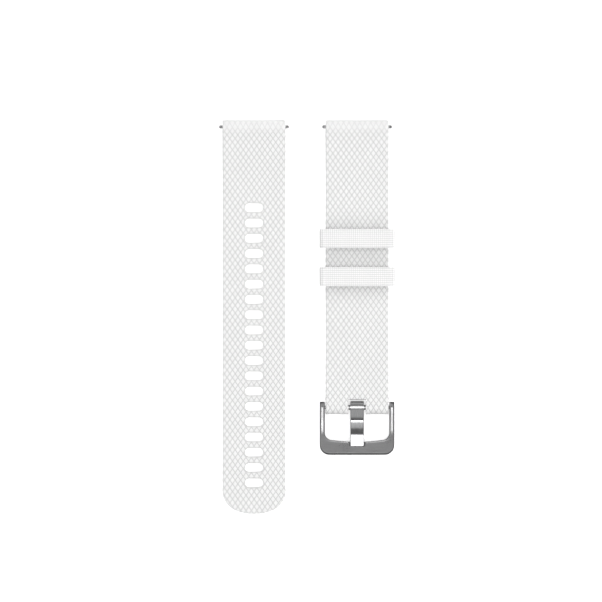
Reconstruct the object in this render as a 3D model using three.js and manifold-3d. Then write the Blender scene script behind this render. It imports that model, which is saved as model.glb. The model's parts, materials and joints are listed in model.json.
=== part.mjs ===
// Two-piece woven strap for a GPS running watch: quick-release spring bars at the lug ends, two sliding keepers
// and a pin buckle. Millimetres, +Z up. The halves lie side by side on z = 0 with their front faces up and their
// lug ends towards +Y. The origin is the centre of the footprint.
import * as THREE from "three";
import { mergeVertices } from "three/addons/utils/BufferGeometryUtils.js";
import Module from "manifold-3d";

const wasm = await Module();
wasm.setup();

// Driving dimensions: the straps
const STRAP_WIDTH = 20; // the lug width that the strap is made for
const LONG_LENGTH = 124; // end to end
const SHORT_LENGTH = 92.7; // end to end, without the buckle
const LANE_PITCH = 32.4; // between the two halves' centre lines
const PLY = 1.15; // thickness of the webbing, and of the lining
const FILM = 0.1; // thickness of the bonding film between them
const BOND_GAP = 0.02; // between the film and each ply
const LOOP_INNER = 1.1; // inner radius of the webbing round a spring bar
const PLIES_MEET = 5.5; // from a bar's axis to where the folded plies come together
const RETURN_LENGTH = 14; // from a bar's axis to the end of the turned-under webbing
const BUTT_GAP = 0.3; // between the turned-under webbing and the lining
const LEAVE_ANGLE = 110; // degrees round the bar at which the webbing leaves it

// Driving dimensions: the punched holes and the tip of the long half
const HOLE_COUNT = 19;
const HOLE_PITCH = 4.81;
const HOLE_LENGTH = 5.7;
const HOLE_WIDTH = 2.7;
const FIRST_HOLE = 25.4; // from the spring bar's axis
const TIP_END_RADIUS = 15.75;
const TIP_CORNER_RADIUS = 6.9;
const FILM_MARGIN = 0.5; // the film stays this far inside every edge

// Driving dimensions: the spring bars
const BAR_RADIUS = 0.8;
const BAR_LENGTH = 19.2; // of the tube
const BAR_CAVITY = 0.68; // inner radius of the tube
const BAR_MOUTH = 0.55; // radius of the tube's crimped ends
const CRIMP = 0.35; // length of each crimped end
const TIP_RADIUS = 0.5;
const TIP_REACH = 10.95; // from the bar's middle to each end of a quick-release bar
const BUCKLE_TIP_REACH = 11.1;
const HEAD_RADIUS = 0.62; // of the part of each tip that stays inside the tube
const RELEASE_TRAVEL = 1.2;
const KNOB_PLACE = 4.6; // from the bar's middle
const KNOB_RADIUS = 0.55;
const KNOB_DEPTH = 1.95; // from the bar's axis to the knob's end
const KNOB_POST = 0.28; // radius
const SPRING_WIRE = 0.09; // radius
const SPRING_TURNS = 8;

// Driving dimensions: keepers
const KEEPER_WIDTH = 23.75;
const KEEPER_LENGTH = 6; // along the strap
const KEEPER_PLY = 0.95;
const KEEPER_INSIDE = 5.1; // inner height, for two thicknesses of strap
const KEEPER_CORNER = 1.25;
const UPPER_KEEPER = 35.1; // from the lug bar's axis to the keeper's middle
const LOWER_KEEPER = 47.1;

// Driving dimensions: buckle
const FRAME_OUTER = 23.4;
const ARM_WIDTH = 1.55;
const EYE_RADIUS = 1.75;
const EYE_HOLE = 0.56; // radius
const EYE_HOLE_DEPTH = 1.1; // from the arm's inner face
const FRAME_REACH = 14.95; // from the bar's axis to the outer edge of the rim
const FRAME_CORNER = 3;
const WINDOW_CORNER = 2.3;
const WINDOW_REACH = 10.9; // to the middle of the rim's inner edge
const WINDOW_BOW = 0.6; // how far the inner edge comes back towards the strap at its ends
const NOTCH_WIDTH = 5.1;
const NOTCH_REACH = 12.35;
const NOTCH_FLOOR = 0.2; // above the bar's axis
const TONGUE_WIDTH = 4.3;
const TONGUE_PLY = 0.95;
const TONGUE_LOOP = 1; // inner radius round the bar
const TONGUE_REACH = 12.2;
const TONGUE_REST = 0.72; // height of the blade's centre where it lies in the notch
const TONGUE_VALLEY = 0.25;
const SLOT_WIDTH = 5.5; // in the short half's end, for the tongue
const SLOT_REACH = 2.55; // from the buckle bar's axis, into the strap

// Worked out from the driving dimensions
const LOOP_OUTER = LOOP_INNER + PLY;
const PLY_OFFSET = FILM / 2 + BOND_GAP + PLY / 2; // from the strap's middle plane to a ply's own
const STRAP_THICKNESS = 2 * (PLY_OFFSET + PLY / 2);
const BAR_SPAN = SHORT_LENGTH - 2 * LOOP_OUTER; // between the short half's two bars
const TIP_PLACE = LOOP_OUTER - LONG_LENGTH; // of the long half's free end, from its bar's axis
const FOOTPRINT = TIP_REACH + LANE_PITCH + KEEPER_WIDTH / 2;
const LONG_LANE = TIP_REACH - FOOTPRINT / 2;
const SHORT_LANE = LONG_LANE + LANE_PITCH;
const LUG_BAR_Y = LONG_LENGTH / 2 - LOOP_OUTER;
const BUCKLE_BAR_Y = LUG_BAR_Y - BAR_SPAN;
const BAR_Z = LOOP_OUTER;
const SETTLE = LOOP_OUTER - STRAP_THICKNESS / 2; // how far the long half comes down to lie flat
const SETTLE_FROM = 6; // distances from the bar's axis between which it comes down
const SETTLE_TO = 18;

const FABRIC = { color: 0xf1f1f0, roughness: 0.85, metalness: 0 };
const LINING = { color: 0xe9e9e7, roughness: 0.9, metalness: 0 };
const BOND = { color: 0xdcdcd6, roughness: 0.6, metalness: 0 };
const KEEPER = { color: 0xf6f6f5, roughness: 0.8, metalness: 0 };
const STEEL = { color: 0x9a9a9c, roughness: 0.35, metalness: 1 };
const SPRING_STEEL = { color: 0x8b8d90, roughness: 0.4, metalness: 1 };

// ---------------------------------------------------------------- solids

function solid(geometry) {
  const bare = geometry.index ? geometry.toNonIndexed() : geometry.clone();
  bare.deleteAttribute("normal");
  bare.deleteAttribute("uv");
  const merged = mergeVertices(bare, 1e-4);
  const triVerts = new Uint32Array(merged.index.array);
  const made = new wasm.Manifold(
    new wasm.Mesh({ numProp: 3, vertProperties: merged.attributes.position.array, triVerts }),
  );
  if (made.volume() > 0) return made;
  for (let i = 0; i < triVerts.length; i += 3) {
    [triVerts[i + 1], triVerts[i + 2]] = [triVerts[i + 2], triVerts[i + 1]];
  }
  return new wasm.Manifold(
    new wasm.Mesh({ numProp: 3, vertProperties: merged.attributes.position.array, triVerts }),
  );
}

function geometryOf(manifold) {
  const made = manifold.getMesh();
  const geometry = new THREE.BufferGeometry();
  geometry.setAttribute("position", new THREE.BufferAttribute(made.vertProperties, made.numProp));
  geometry.setIndex(new THREE.BufferAttribute(made.triVerts, 1));
  geometry.computeVertexNormals();
  return geometry;
}

// An outline in (y, z), made solid from x = from to x = to.
function prismX(points, from, to) {
  const geometry = new THREE.ExtrudeGeometry(new THREE.Shape(points), { depth: to - from, bevelEnabled: false });
  geometry.applyMatrix4(
    new THREE.Matrix4().makeBasis(
      new THREE.Vector3(0, 1, 0),
      new THREE.Vector3(0, 0, 1),
      new THREE.Vector3(1, 0, 0),
    ),
  );
  geometry.translate(from, 0, 0);
  return solid(geometry);
}

// A shape in (x, y), made solid from z = from to z = to.
function prismZ(shape, from, to, curveSegments = 8) {
  const geometry = new THREE.ExtrudeGeometry(shape, { depth: to - from, bevelEnabled: false, curveSegments });
  geometry.translate(0, 0, from);
  return solid(geometry);
}

function block(x0, x1, y0, y1, z0, z1) {
  const geometry = new THREE.BoxGeometry(x1 - x0, y1 - y0, z1 - z0);
  geometry.translate((x0 + x1) / 2, (y0 + y1) / 2, (z0 + z1) / 2);
  return solid(geometry);
}

// A turned piece on the X axis from [radius, x] pairs that start and end on the axis or close on themselves.
function turnedX(profile, sides = 20) {
  const geometry = new THREE.LatheGeometry(
    profile.map(([radius, x]) => new THREE.Vector2(radius, x)),
    sides,
  );
  geometry.rotateZ(-Math.PI / 2);
  return solid(geometry);
}

// A rod on the Z axis through (x, 0).
function postZ(radius, x, from, to, sides = 16) {
  const geometry = new THREE.CylinderGeometry(radius, radius, to - from, sides);
  geometry.rotateX(Math.PI / 2);
  geometry.translate(x, 0, (from + to) / 2);
  return solid(geometry);
}

// The outline of a band of even thickness along a line.
function band(line, thickness) {
  const above = [];
  const below = [];
  line.forEach((point, i) => {
    const before = line[Math.max(i - 1, 0)];
    const after = line[Math.min(i + 1, line.length - 1)];
    const normal = new THREE.Vector2(before.y - after.y, after.x - before.x).normalize();
    above.push(point.clone().addScaledVector(normal, thickness / 2));
    below.unshift(point.clone().addScaledVector(normal, -thickness / 2));
  });
  return [...above, ...below];
}

const at = (x, y) => new THREE.Vector2(x, y);

// ---------------------------------------------------------------- strap profiles, in (along, up) from the lug bar's axis

// The webbing's centre line from the front face, round a bar at the origin, to the rear face.
function loopLine() {
  const radius = LOOP_INNER + PLY / 2;
  const leave = THREE.MathUtils.degToRad(LEAVE_ANGLE);
  const handle = 1.6;
  const meet = at(-PLIES_MEET, PLY_OFFSET);
  const touch = at(radius * Math.cos(leave), radius * Math.sin(leave));
  const away = at(Math.sin(leave), -Math.cos(leave));
  const approach = new THREE.CubicBezierCurve(
    meet,
    at(meet.x + handle, meet.y),
    touch.clone().addScaledVector(away, -handle),
    touch,
  ).getPoints(8);
  const turn = new THREE.ArcCurve(0, 0, radius, leave, -leave, true).getPoints(20);
  const depart = approach.map((point) => at(point.x, -point.y)).reverse();
  return [...approach, ...turn.slice(1, -1), ...depart];
}

// Points from one distance to another on a level line, close together where the long half comes down.
function levelLine(from, to, height) {
  const distances = [from];
  for (let d = SETTLE_FROM; d <= SETTLE_TO; d += 1) {
    if (d > Math.min(from, to) + 0.1 && d < Math.max(from, to) - 0.1) distances.push(d);
  }
  distances.push(to);
  distances.sort((a, b) => (from < to ? a - b : b - a));
  return distances.map((d) => at(-d, height));
}

// Brings the long half down from its loop until it lies flat on z = 0.
function settled(points) {
  return points.map((point) => {
    const share = THREE.MathUtils.smoothstep(-point.x, SETTLE_FROM, SETTLE_TO);
    return at(point.x, point.y - SETTLE * share);
  });
}

// The front face, the loop round the bar and the short return behind it, as one line.
function longWebbingLine() {
  const front = levelLine(-TIP_PLACE, PLIES_MEET, PLY_OFFSET).slice(0, -1);
  const rear = levelLine(PLIES_MEET, RETURN_LENGTH, -PLY_OFFSET).slice(1);
  return [...front, ...loopLine(), ...rear];
}

function shortWebbingLine() {
  const lugLoop = loopLine().reverse();
  const buckleLoop = loopLine().map((point) => at(-BAR_SPAN - point.x, point.y));
  return [
    at(-RETURN_LENGTH, -PLY_OFFSET),
    ...lugLoop,
    ...buckleLoop,
    at(RETURN_LENGTH - BAR_SPAN, -PLY_OFFSET),
  ];
}

// ---------------------------------------------------------------- plan outlines, in (x, y) from the lug bar's axis

function roundedSlot(y, length, width) {
  const radius = width / 2;
  const straight = length / 2 - radius;
  const slot = new THREE.Shape();
  slot.absarc(straight, y, radius, -Math.PI / 2, Math.PI / 2, false);
  slot.absarc(-straight, y, radius, Math.PI / 2, (3 * Math.PI) / 2, false);
  return slot;
}

// The long half's outline with its rounded free end, drawn in by `margin` all round.
function longOutline(margin) {
  const half = STRAP_WIDTH / 2 - margin;
  const corner = TIP_CORNER_RADIUS - margin;
  const end = TIP_END_RADIUS - margin;
  const cornerX = half - corner;
  const endY = TIP_PLACE + TIP_END_RADIUS;
  const cornerY = endY - Math.sqrt((end - corner) ** 2 - cornerX ** 2);
  const meeting = Math.atan2(cornerY - endY, cornerX);
  const plan = new THREE.Shape();
  plan.moveTo(-half, LOOP_OUTER + 1);
  plan.lineTo(-half, cornerY);
  plan.absarc(-cornerX, cornerY, corner, Math.PI, Math.PI - meeting, false);
  plan.absarc(0, endY, end, -Math.PI - meeting, meeting, false);
  plan.absarc(cornerX, cornerY, corner, meeting, 0, false);
  plan.lineTo(half, LOOP_OUTER + 1);
  return plan;
}

// The outline stood up as a prism with the row of holes punched through it.
function punchedPrism(margin) {
  const from = -3 * LOOP_OUTER;
  const to = 3 * LOOP_OUTER;
  let prism = prismZ(longOutline(margin), from, to);
  for (let i = 0; i < HOLE_COUNT; i += 1) {
    const y = -FIRST_HOLE - i * HOLE_PITCH;
    const slot = roundedSlot(y, HOLE_LENGTH + 2 * margin, HOLE_WIDTH + 2 * margin);
    prism = prism.subtract(prismZ(slot, from - 1, to + 1, 5));
  }
  return prism;
}

// ---------------------------------------------------------------- the straps' plies

// Opens the underside of a lug loop over the release knob.
function knobNotch() {
  const side = RELEASE_TRAVEL + 1.2;
  return block(KNOB_PLACE - side, KNOB_PLACE + 1.6, -2.6, 1.35, -2 * LOOP_OUTER, -0.2);
}

function tongueSlot() {
  const half = SLOT_WIDTH / 2;
  return block(-half, half, -BAR_SPAN - 2 * LOOP_OUTER, SLOT_REACH - BAR_SPAN, -2 * LOOP_OUTER, 2 * LOOP_OUTER);
}

function longPly(outline, margin = 0) {
  const half = STRAP_WIDTH / 2;
  return prismX(settled(outline), -half, half).intersect(punchedPrism(margin));
}

function longWebbing() {
  return longPly(band(longWebbingLine(), PLY)).subtract(knobNotch());
}

function longLining() {
  return longPly(band(levelLine(RETURN_LENGTH + BUTT_GAP, -TIP_PLACE, -PLY_OFFSET), PLY));
}

function longFilm() {
  return longPly(band(levelLine(PLIES_MEET + FILM_MARGIN, -TIP_PLACE, 0), FILM), FILM_MARGIN);
}

function shortWebbing() {
  const half = STRAP_WIDTH / 2;
  return prismX(band(shortWebbingLine(), PLY), -half, half).subtract(knobNotch()).subtract(tongueSlot());
}

function shortLining() {
  const half = STRAP_WIDTH / 2;
  const from = RETURN_LENGTH + BUTT_GAP;
  return prismX(band([at(from - BAR_SPAN, -PLY_OFFSET), at(-from, -PLY_OFFSET)], PLY), -half, half);
}

function shortFilm() {
  const half = STRAP_WIDTH / 2 - FILM_MARGIN;
  const from = PLIES_MEET + FILM_MARGIN;
  return prismX(band([at(from - BAR_SPAN, 0), at(-from, 0)], FILM), -half, half);
}

// ---------------------------------------------------------------- spring bars, on the X axis

function barTube() {
  const end = BAR_LENGTH / 2;
  const inner = end - CRIMP;
  return turnedX([
    [BAR_MOUTH, -end],
    [BAR_RADIUS - 0.1, -end],
    [BAR_RADIUS, -end + 0.12],
    [BAR_RADIUS, end - 0.12],
    [BAR_RADIUS - 0.1, end],
    [BAR_MOUTH, end],
    [BAR_MOUTH, inner],
    [BAR_CAVITY, inner],
    [BAR_CAVITY, -inner],
    [BAR_MOUTH, -inner],
    [BAR_MOUTH, -end],
  ]);
}

// The quick-release bar's tube has a slot in its underside for the knob's post.
function releaseTube() {
  const half = KNOB_POST + 0.1;
  const slot = block(KNOB_PLACE - RELEASE_TRAVEL - half, KNOB_PLACE + half, -half, half, -2 * BAR_RADIUS, 0);
  return barTube().subtract(slot);
}

// A tip with its head inside the tube, pointing to +X. The head runs from `inner` to `inner` plus its length.
function barTip(inner, headLength, reach) {
  const chamfer = 0.15;
  return turnedX([
    [0, inner],
    [HEAD_RADIUS, inner],
    [HEAD_RADIUS, inner + headLength],
    [TIP_RADIUS, inner + headLength],
    [TIP_RADIUS, reach - chamfer],
    [TIP_RADIUS - chamfer, reach],
    [0, reach],
  ]);
}

const HEAD_END = BAR_LENGTH / 2 - CRIMP; // where a head stops against the crimp
const FIXED_HEAD = 2;
const SPRUNG_HEAD = 1;
const CRIMP_GAP = 0.05;

const fixedTip = () =>
  barTip(HEAD_END - CRIMP_GAP - FIXED_HEAD, FIXED_HEAD, TIP_REACH).mirror([1, 0, 0]);

const KNOB_BORE = KNOB_POST + 0.03;
const PLUNGER_INNER = KNOB_PLACE - 0.9;

// The sprung tip of a quick-release bar, cross-drilled for the knob's post.
function releasePlunger() {
  return barTip(PLUNGER_INNER, HEAD_END - CRIMP_GAP - PLUNGER_INNER, TIP_REACH).subtract(
    postZ(KNOB_BORE, KNOB_PLACE, -1, 0.3),
  );
}

function releaseKnob() {
  return postZ(KNOB_POST, KNOB_PLACE, -KNOB_DEPTH + 0.4, 0.2).add(
    postZ(KNOB_RADIUS, KNOB_PLACE, -KNOB_DEPTH, -BAR_RADIUS - 0.15),
  );
}

const BUCKLE_PLUNGER_INNER = HEAD_END - CRIMP_GAP - SPRUNG_HEAD;
const buckleTip = () => barTip(BUCKLE_PLUNGER_INNER, SPRUNG_HEAD, BUCKLE_TIP_REACH);

// A coil spring on the X axis between two heads.
class Coil extends THREE.Curve {
  constructor(from, to, radius) {
    super();
    Object.assign(this, { from, to, radius });
  }
  getPoint(t, target = new THREE.Vector3()) {
    const turn = 2 * Math.PI * SPRING_TURNS * t;
    const x = this.from + (this.to - this.from) * t;
    return target.set(x, this.radius * Math.cos(turn), this.radius * Math.sin(turn));
  }
}

function coilSpring(from, to) {
  const room = 0.1;
  const path = new Coil(from + room, to - room, BAR_CAVITY - SPRING_WIRE - 0.08);
  const wire = new THREE.Shape().absarc(0, 0, SPRING_WIRE, 0, 2 * Math.PI);
  return solid(
    new THREE.ExtrudeGeometry(wire, { extrudePath: path, steps: 8 * SPRING_TURNS, curveSegments: 3 }),
  );
}

// ---------------------------------------------------------------- keepers, centred on (0, 0), standing on the surface

function roundedRectangle(path, halfWidth, bottom, top, radius) {
  path.absarc(halfWidth - radius, bottom + radius, radius, -Math.PI / 2, 0, false);
  path.absarc(halfWidth - radius, top - radius, radius, 0, Math.PI / 2, false);
  path.absarc(radius - halfWidth, top - radius, radius, Math.PI / 2, Math.PI, false);
  path.absarc(radius - halfWidth, bottom + radius, radius, Math.PI, (3 * Math.PI) / 2, false);
  return path;
}

function keeperLoop() {
  const half = KEEPER_WIDTH / 2;
  const height = KEEPER_INSIDE + 2 * KEEPER_PLY;
  const ring = roundedRectangle(new THREE.Shape(), half, 0, height, KEEPER_CORNER);
  const inner = KEEPER_CORNER - KEEPER_PLY + 0.1;
  ring.holes.push(
    roundedRectangle(new THREE.Path(), half - KEEPER_PLY, KEEPER_PLY, height - KEEPER_PLY, inner),
  );
  const geometry = new THREE.ExtrudeGeometry(ring, { depth: KEEPER_LENGTH, bevelEnabled: false, curveSegments: 4 });
  geometry.rotateX(Math.PI / 2);
  geometry.translate(0, KEEPER_LENGTH / 2, 0);
  return solid(geometry);
}

// ---------------------------------------------------------------- buckle, from the buckle bar's axis, rim towards -Y

function framePlan() {
  const half = FRAME_OUTER / 2;
  const inner = half - ARM_WIDTH;
  const shoulder = WINDOW_BOW - WINDOW_REACH; // the inner edge's height where it meets the window's corners
  const plan = new THREE.Shape();
  plan.moveTo(-half, EYE_RADIUS);
  plan.lineTo(-half, FRAME_CORNER - FRAME_REACH);
  plan.absarc(FRAME_CORNER - half, FRAME_CORNER - FRAME_REACH, FRAME_CORNER, Math.PI, 1.5 * Math.PI, false);
  plan.absarc(half - FRAME_CORNER, FRAME_CORNER - FRAME_REACH, FRAME_CORNER, -Math.PI / 2, 0, false);
  plan.lineTo(half, EYE_RADIUS);
  plan.lineTo(inner, EYE_RADIUS);
  plan.absarc(inner - WINDOW_CORNER, shoulder + WINDOW_CORNER, WINDOW_CORNER, 0, -Math.PI / 2, true);
  plan.quadraticCurveTo(0, shoulder - 2 * WINDOW_BOW, WINDOW_CORNER - inner, shoulder);
  plan.absarc(WINDOW_CORNER - inner, shoulder + WINDOW_CORNER, WINDOW_CORNER, -Math.PI / 2, -Math.PI, true);
  plan.lineTo(-inner, EYE_RADIUS);
  return plan;
}

// The frame's side view: a round eye, then a level arm that bends into a rim whose top slopes down evenly and whose
// underside is on the surface.
function frameSide() {
  const floor = -BAR_Z;
  const straight = 6; // the arms are straight this far from the bar
  const eye = new THREE.ArcCurve(0, 0, EYE_RADIUS, -Math.PI / 2, Math.PI / 2, false).getPoints(14);
  const top = new THREE.QuadraticBezierCurve(
    at(-6.4, EYE_RADIUS - 0.2),
    at(-7.5, EYE_RADIUS - 0.2),
    at(-8.6, EYE_RADIUS - 0.41),
  ).getPoints(8);
  const edge = [
    at(0.3 - FRAME_REACH, 0.15),
    at(-FRAME_REACH, -0.2),
    at(-FRAME_REACH, floor + 0.4),
    at(0.45 - FRAME_REACH, floor),
  ];
  const underside = new THREE.QuadraticBezierCurve(
    at(1 - FRAME_REACH, floor),
    at(4 - FRAME_REACH, 0.1 - EYE_RADIUS),
    at(-straight, 0.1 - EYE_RADIUS),
  ).getPoints(10);
  return [...eye, ...top, ...edge, ...underside];
}

function buckleFrame() {
  const half = FRAME_OUTER / 2;
  const inner = half - ARM_WIDTH;
  const body = prismX(frameSide(), -half, half).intersect(prismZ(framePlan(), -4, 4));
  const eyes = turnedX([
    [0, -inner - EYE_HOLE_DEPTH],
    [EYE_HOLE, -inner - EYE_HOLE_DEPTH],
    [EYE_HOLE, inner + EYE_HOLE_DEPTH],
    [0, inner + EYE_HOLE_DEPTH],
  ]);
  const notch = block(-NOTCH_WIDTH / 2, NOTCH_WIDTH / 2, -NOTCH_REACH, 0, NOTCH_FLOOR, 4);
  return body.subtract(eyes).subtract(notch);
}

// The tongue's centre line: a curl round the bar, a dip that clears the strap, and a flat end that lies in the notch.
function tongueLine() {
  const radius = TONGUE_LOOP + TONGUE_PLY / 2;
  const leave = THREE.MathUtils.degToRad(108);
  const curlEnd = THREE.MathUtils.degToRad(-152);
  const curl = new THREE.ArcCurve(0, 0, radius, curlEnd, leave, false).getPoints(20);
  const start = curl[curl.length - 1];
  const down = at(-Math.sin(leave), Math.cos(leave));
  const valley = at(-4.5, TONGUE_VALLEY);
  const rest = at(-8.6, TONGUE_REST);
  const dip = new THREE.CubicBezierCurve(
    start,
    start.clone().addScaledVector(down, 1.2),
    at(valley.x + 1.5, valley.y),
    valley,
  ).getPoints(8);
  const rise = new THREE.CubicBezierCurve(
    valley,
    at(valley.x - 2.1, valley.y + 0.04),
    at(rest.x + 0.3, rest.y),
    rest,
  ).getPoints(12);
  return [...curl, ...dip.slice(1), ...rise.slice(1), at(-TONGUE_REACH, TONGUE_REST)];
}

const buckleTongue = () => prismX(band(tongueLine(), TONGUE_PLY), -TONGUE_WIDTH / 2, TONGUE_WIDTH / 2);

// ---------------------------------------------------------------- assembly

function piece(name, manifold, material) {
  const mesh = new THREE.Mesh(geometryOf(manifold), new THREE.MeshStandardMaterial(material));
  mesh.name = name;
  return mesh;
}

function placed(x, y, z, ...pieces) {
  const group = new THREE.Group();
  group.position.set(x, y, z);
  group.add(...pieces);
  return group;
}

function quickReleaseBar(half) {
  const fixedInner = FIXED_HEAD + CRIMP_GAP - HEAD_END;
  return [
    piece(`${half}_bar_tube`, releaseTube(), STEEL),
    piece(`${half}_bar_fixed_tip`, fixedTip(), STEEL),
    piece(`${half}_bar_plunger`, releasePlunger(), STEEL),
    piece(`${half}_bar_release_knob`, releaseKnob(), STEEL),
    piece(`${half}_bar_spring`, coilSpring(fixedInner, PLUNGER_INNER), SPRING_STEEL),
  ];
}

function buckleBar() {
  return [
    piece("buckle_bar_tube", barTube(), STEEL),
    piece("buckle_bar_right_plunger", buckleTip(), STEEL),
    piece("buckle_bar_left_plunger", buckleTip().mirror([1, 0, 0]), STEEL),
    piece("buckle_bar_spring", coilSpring(-BUCKLE_PLUNGER_INNER, BUCKLE_PLUNGER_INNER), SPRING_STEEL),
  ];
}

const longHalf = placed(
  LONG_LANE,
  LUG_BAR_Y,
  BAR_Z,
  piece("long_webbing", longWebbing(), FABRIC),
  piece("long_lining", longLining(), LINING),
  piece("long_bonding_film", longFilm(), BOND),
  ...quickReleaseBar("long"),
);

const shortHalf = placed(
  SHORT_LANE,
  LUG_BAR_Y,
  BAR_Z,
  piece("short_webbing", shortWebbing(), FABRIC),
  piece("short_lining", shortLining(), LINING),
  piece("short_bonding_film", shortFilm(), BOND),
  ...quickReleaseBar("short"),
);

const keepers = [
  placed(SHORT_LANE, LUG_BAR_Y - UPPER_KEEPER, 0, piece("upper_keeper", keeperLoop(), KEEPER)),
  placed(SHORT_LANE, LUG_BAR_Y - LOWER_KEEPER, 0, piece("lower_keeper", keeperLoop(), KEEPER)),
];

const buckle = placed(
  SHORT_LANE,
  BUCKLE_BAR_Y,
  BAR_Z,
  piece("buckle_frame", buckleFrame(), STEEL),
  piece("buckle_tongue", buckleTongue(), STEEL),
  ...buckleBar(),
);

const strap = new THREE.Group();
strap.add(longHalf, shortHalf, ...keepers, buckle);

export default strap;
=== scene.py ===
"""A two-piece woven watch strap: two quick-release halves, two keepers and a pin buckle.

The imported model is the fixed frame. The woven plies and the steelwork are rebuilt here as fine meshes in the
same places, in metres, and each piece rides on the body of the part that it stands for.
"""

import json
import logging
import math
from collections.abc import Callable, Sequence
from dataclasses import dataclass, field
from enum import Enum

import bmesh
import bpy
import numpy as np
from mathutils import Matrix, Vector

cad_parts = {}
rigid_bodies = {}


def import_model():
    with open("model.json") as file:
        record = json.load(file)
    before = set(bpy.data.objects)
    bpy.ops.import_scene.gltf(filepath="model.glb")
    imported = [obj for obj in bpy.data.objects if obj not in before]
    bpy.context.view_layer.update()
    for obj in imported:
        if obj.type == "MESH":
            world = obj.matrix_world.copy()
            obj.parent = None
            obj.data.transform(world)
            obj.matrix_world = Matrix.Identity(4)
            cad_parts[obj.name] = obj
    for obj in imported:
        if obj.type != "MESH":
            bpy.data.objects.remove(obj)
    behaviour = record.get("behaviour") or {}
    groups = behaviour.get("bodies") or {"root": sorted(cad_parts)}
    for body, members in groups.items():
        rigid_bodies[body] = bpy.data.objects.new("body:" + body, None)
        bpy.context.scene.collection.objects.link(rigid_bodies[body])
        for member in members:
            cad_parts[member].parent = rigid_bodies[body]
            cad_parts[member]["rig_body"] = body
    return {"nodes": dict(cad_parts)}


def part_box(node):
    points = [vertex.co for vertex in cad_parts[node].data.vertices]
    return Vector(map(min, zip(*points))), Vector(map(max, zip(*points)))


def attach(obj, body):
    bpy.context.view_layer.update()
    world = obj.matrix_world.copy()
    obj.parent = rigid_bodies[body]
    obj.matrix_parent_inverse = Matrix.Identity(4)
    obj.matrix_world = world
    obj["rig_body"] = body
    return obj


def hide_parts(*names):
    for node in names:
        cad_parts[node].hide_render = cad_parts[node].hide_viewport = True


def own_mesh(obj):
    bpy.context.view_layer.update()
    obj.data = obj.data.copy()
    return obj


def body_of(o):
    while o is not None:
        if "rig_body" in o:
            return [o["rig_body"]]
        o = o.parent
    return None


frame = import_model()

MM = 1e-3
PLACE_ATTRIBUTE = "yarn_place"

Array = np.ndarray
Faces = list[tuple[int, ...]]
Colour = tuple[float, float, float]

log = logging.getLogger("strap")


# ---------------------------------------------------------------- mesh work


class Cut(Enum):
    """What a boolean does with its tool."""

    KEEP_INSIDE = "INTERSECT"
    REMOVE = "DIFFERENCE"


class Solver(Enum):
    """How a boolean is worked out: fast for fine weaves, exact for the buckle's frame."""

    FAST = "MANIFOLD"
    EXACT = "EXACT"


def new_object(name: str, vertices: Array, faces: Faces) -> bpy.types.Object:
    """Makes a mesh object and links it to the scene.

    Args:
        name: The object's name.
        vertices: Points, one row each, in metres.
        faces: Indices of each face's corners, counter-clockwise from outside.

    Returns:
        The new object, at the origin.
    """
    mesh = bpy.data.meshes.new(name)
    mesh.from_pydata(np.asarray(vertices, float).tolist(), [], faces)
    mesh.update()
    made = bpy.data.objects.new(name, mesh)
    bpy.context.scene.collection.objects.link(made)
    return made


def carve(target: bpy.types.Object, tool: bpy.types.Object, cut: Cut, solver: Solver = Solver.FAST) -> None:
    """Applies a boolean to the target and removes the tool.

    Args:
        target: The closed mesh that changes.
        tool: The closed mesh that cuts.
        cut: Which boolean it is.
        solver: How it is worked out.
    """
    modifier = target.modifiers.new("carve", "BOOLEAN")
    modifier.operation = cut.value
    modifier.solver = solver.value
    modifier.object = tool
    graph = bpy.context.evaluated_depsgraph_get()
    carved = bpy.data.meshes.new_from_object(target.evaluated_get(graph))
    target.modifiers.clear()
    plain = target.data
    target.data = carved
    bpy.data.meshes.remove(plain)
    bpy.data.objects.remove(tool)


def face_outwards(made: bpy.types.Object) -> None:
    """Turns every face of a closed mesh outwards."""
    work = bmesh.new()
    work.from_mesh(made.data)
    bmesh.ops.recalc_face_normals(work, faces=work.faces)
    work.to_mesh(made.data)
    work.free()


def smooth(made: bpy.types.Object, crease_deg: float = 40.0) -> None:
    """Shades a mesh smooth but for its creases.

    Args:
        made: The object to shade.
        crease_deg: Edges that bend more than this stay sharp.
    """
    made.data.polygons.foreach_set("use_smooth", np.ones(len(made.data.polygons), bool))
    made.data.set_sharp_from_angle(angle=math.radians(crease_deg))


def points_of(made: bpy.types.Object) -> Array:
    """The mesh's vertices, one row each."""
    flat = np.empty(len(made.data.vertices) * 3)
    made.data.vertices.foreach_get("co", flat)
    return flat.reshape(-1, 3)


def move_points(made: bpy.types.Object, points: Array) -> None:
    """Gives the mesh's vertices new places."""
    made.data.vertices.foreach_set("co", np.asarray(points, float).ravel())
    made.data.update()


def prisms(name: str, outlines: Sequence[Array], low: float, high: float) -> bpy.types.Object:
    """Stands one or more closed outlines up as prisms in one mesh.

    Args:
        name: The object's name.
        outlines: Each an array of (x, y) points, counter-clockwise.
        low: Height of the prisms' bottoms.
        high: Height of their tops.

    Returns:
        The new object.
    """
    vertices: list[tuple[float, float, float]] = []
    faces: Faces = []
    for outline in outlines:
        start, count = len(vertices), len(outline)
        vertices += [(x, y, low) for x, y in outline] + [(x, y, high) for x, y in outline]
        faces.append(tuple(start + i for i in reversed(range(count))))
        faces.append(tuple(start + count + i for i in range(count)))
        for i in range(count):
            j = (i + 1) % count
            faces.append((start + i, start + j, start + count + j, start + count + i))
    return new_object(name, np.array(vertices), faces)


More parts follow.
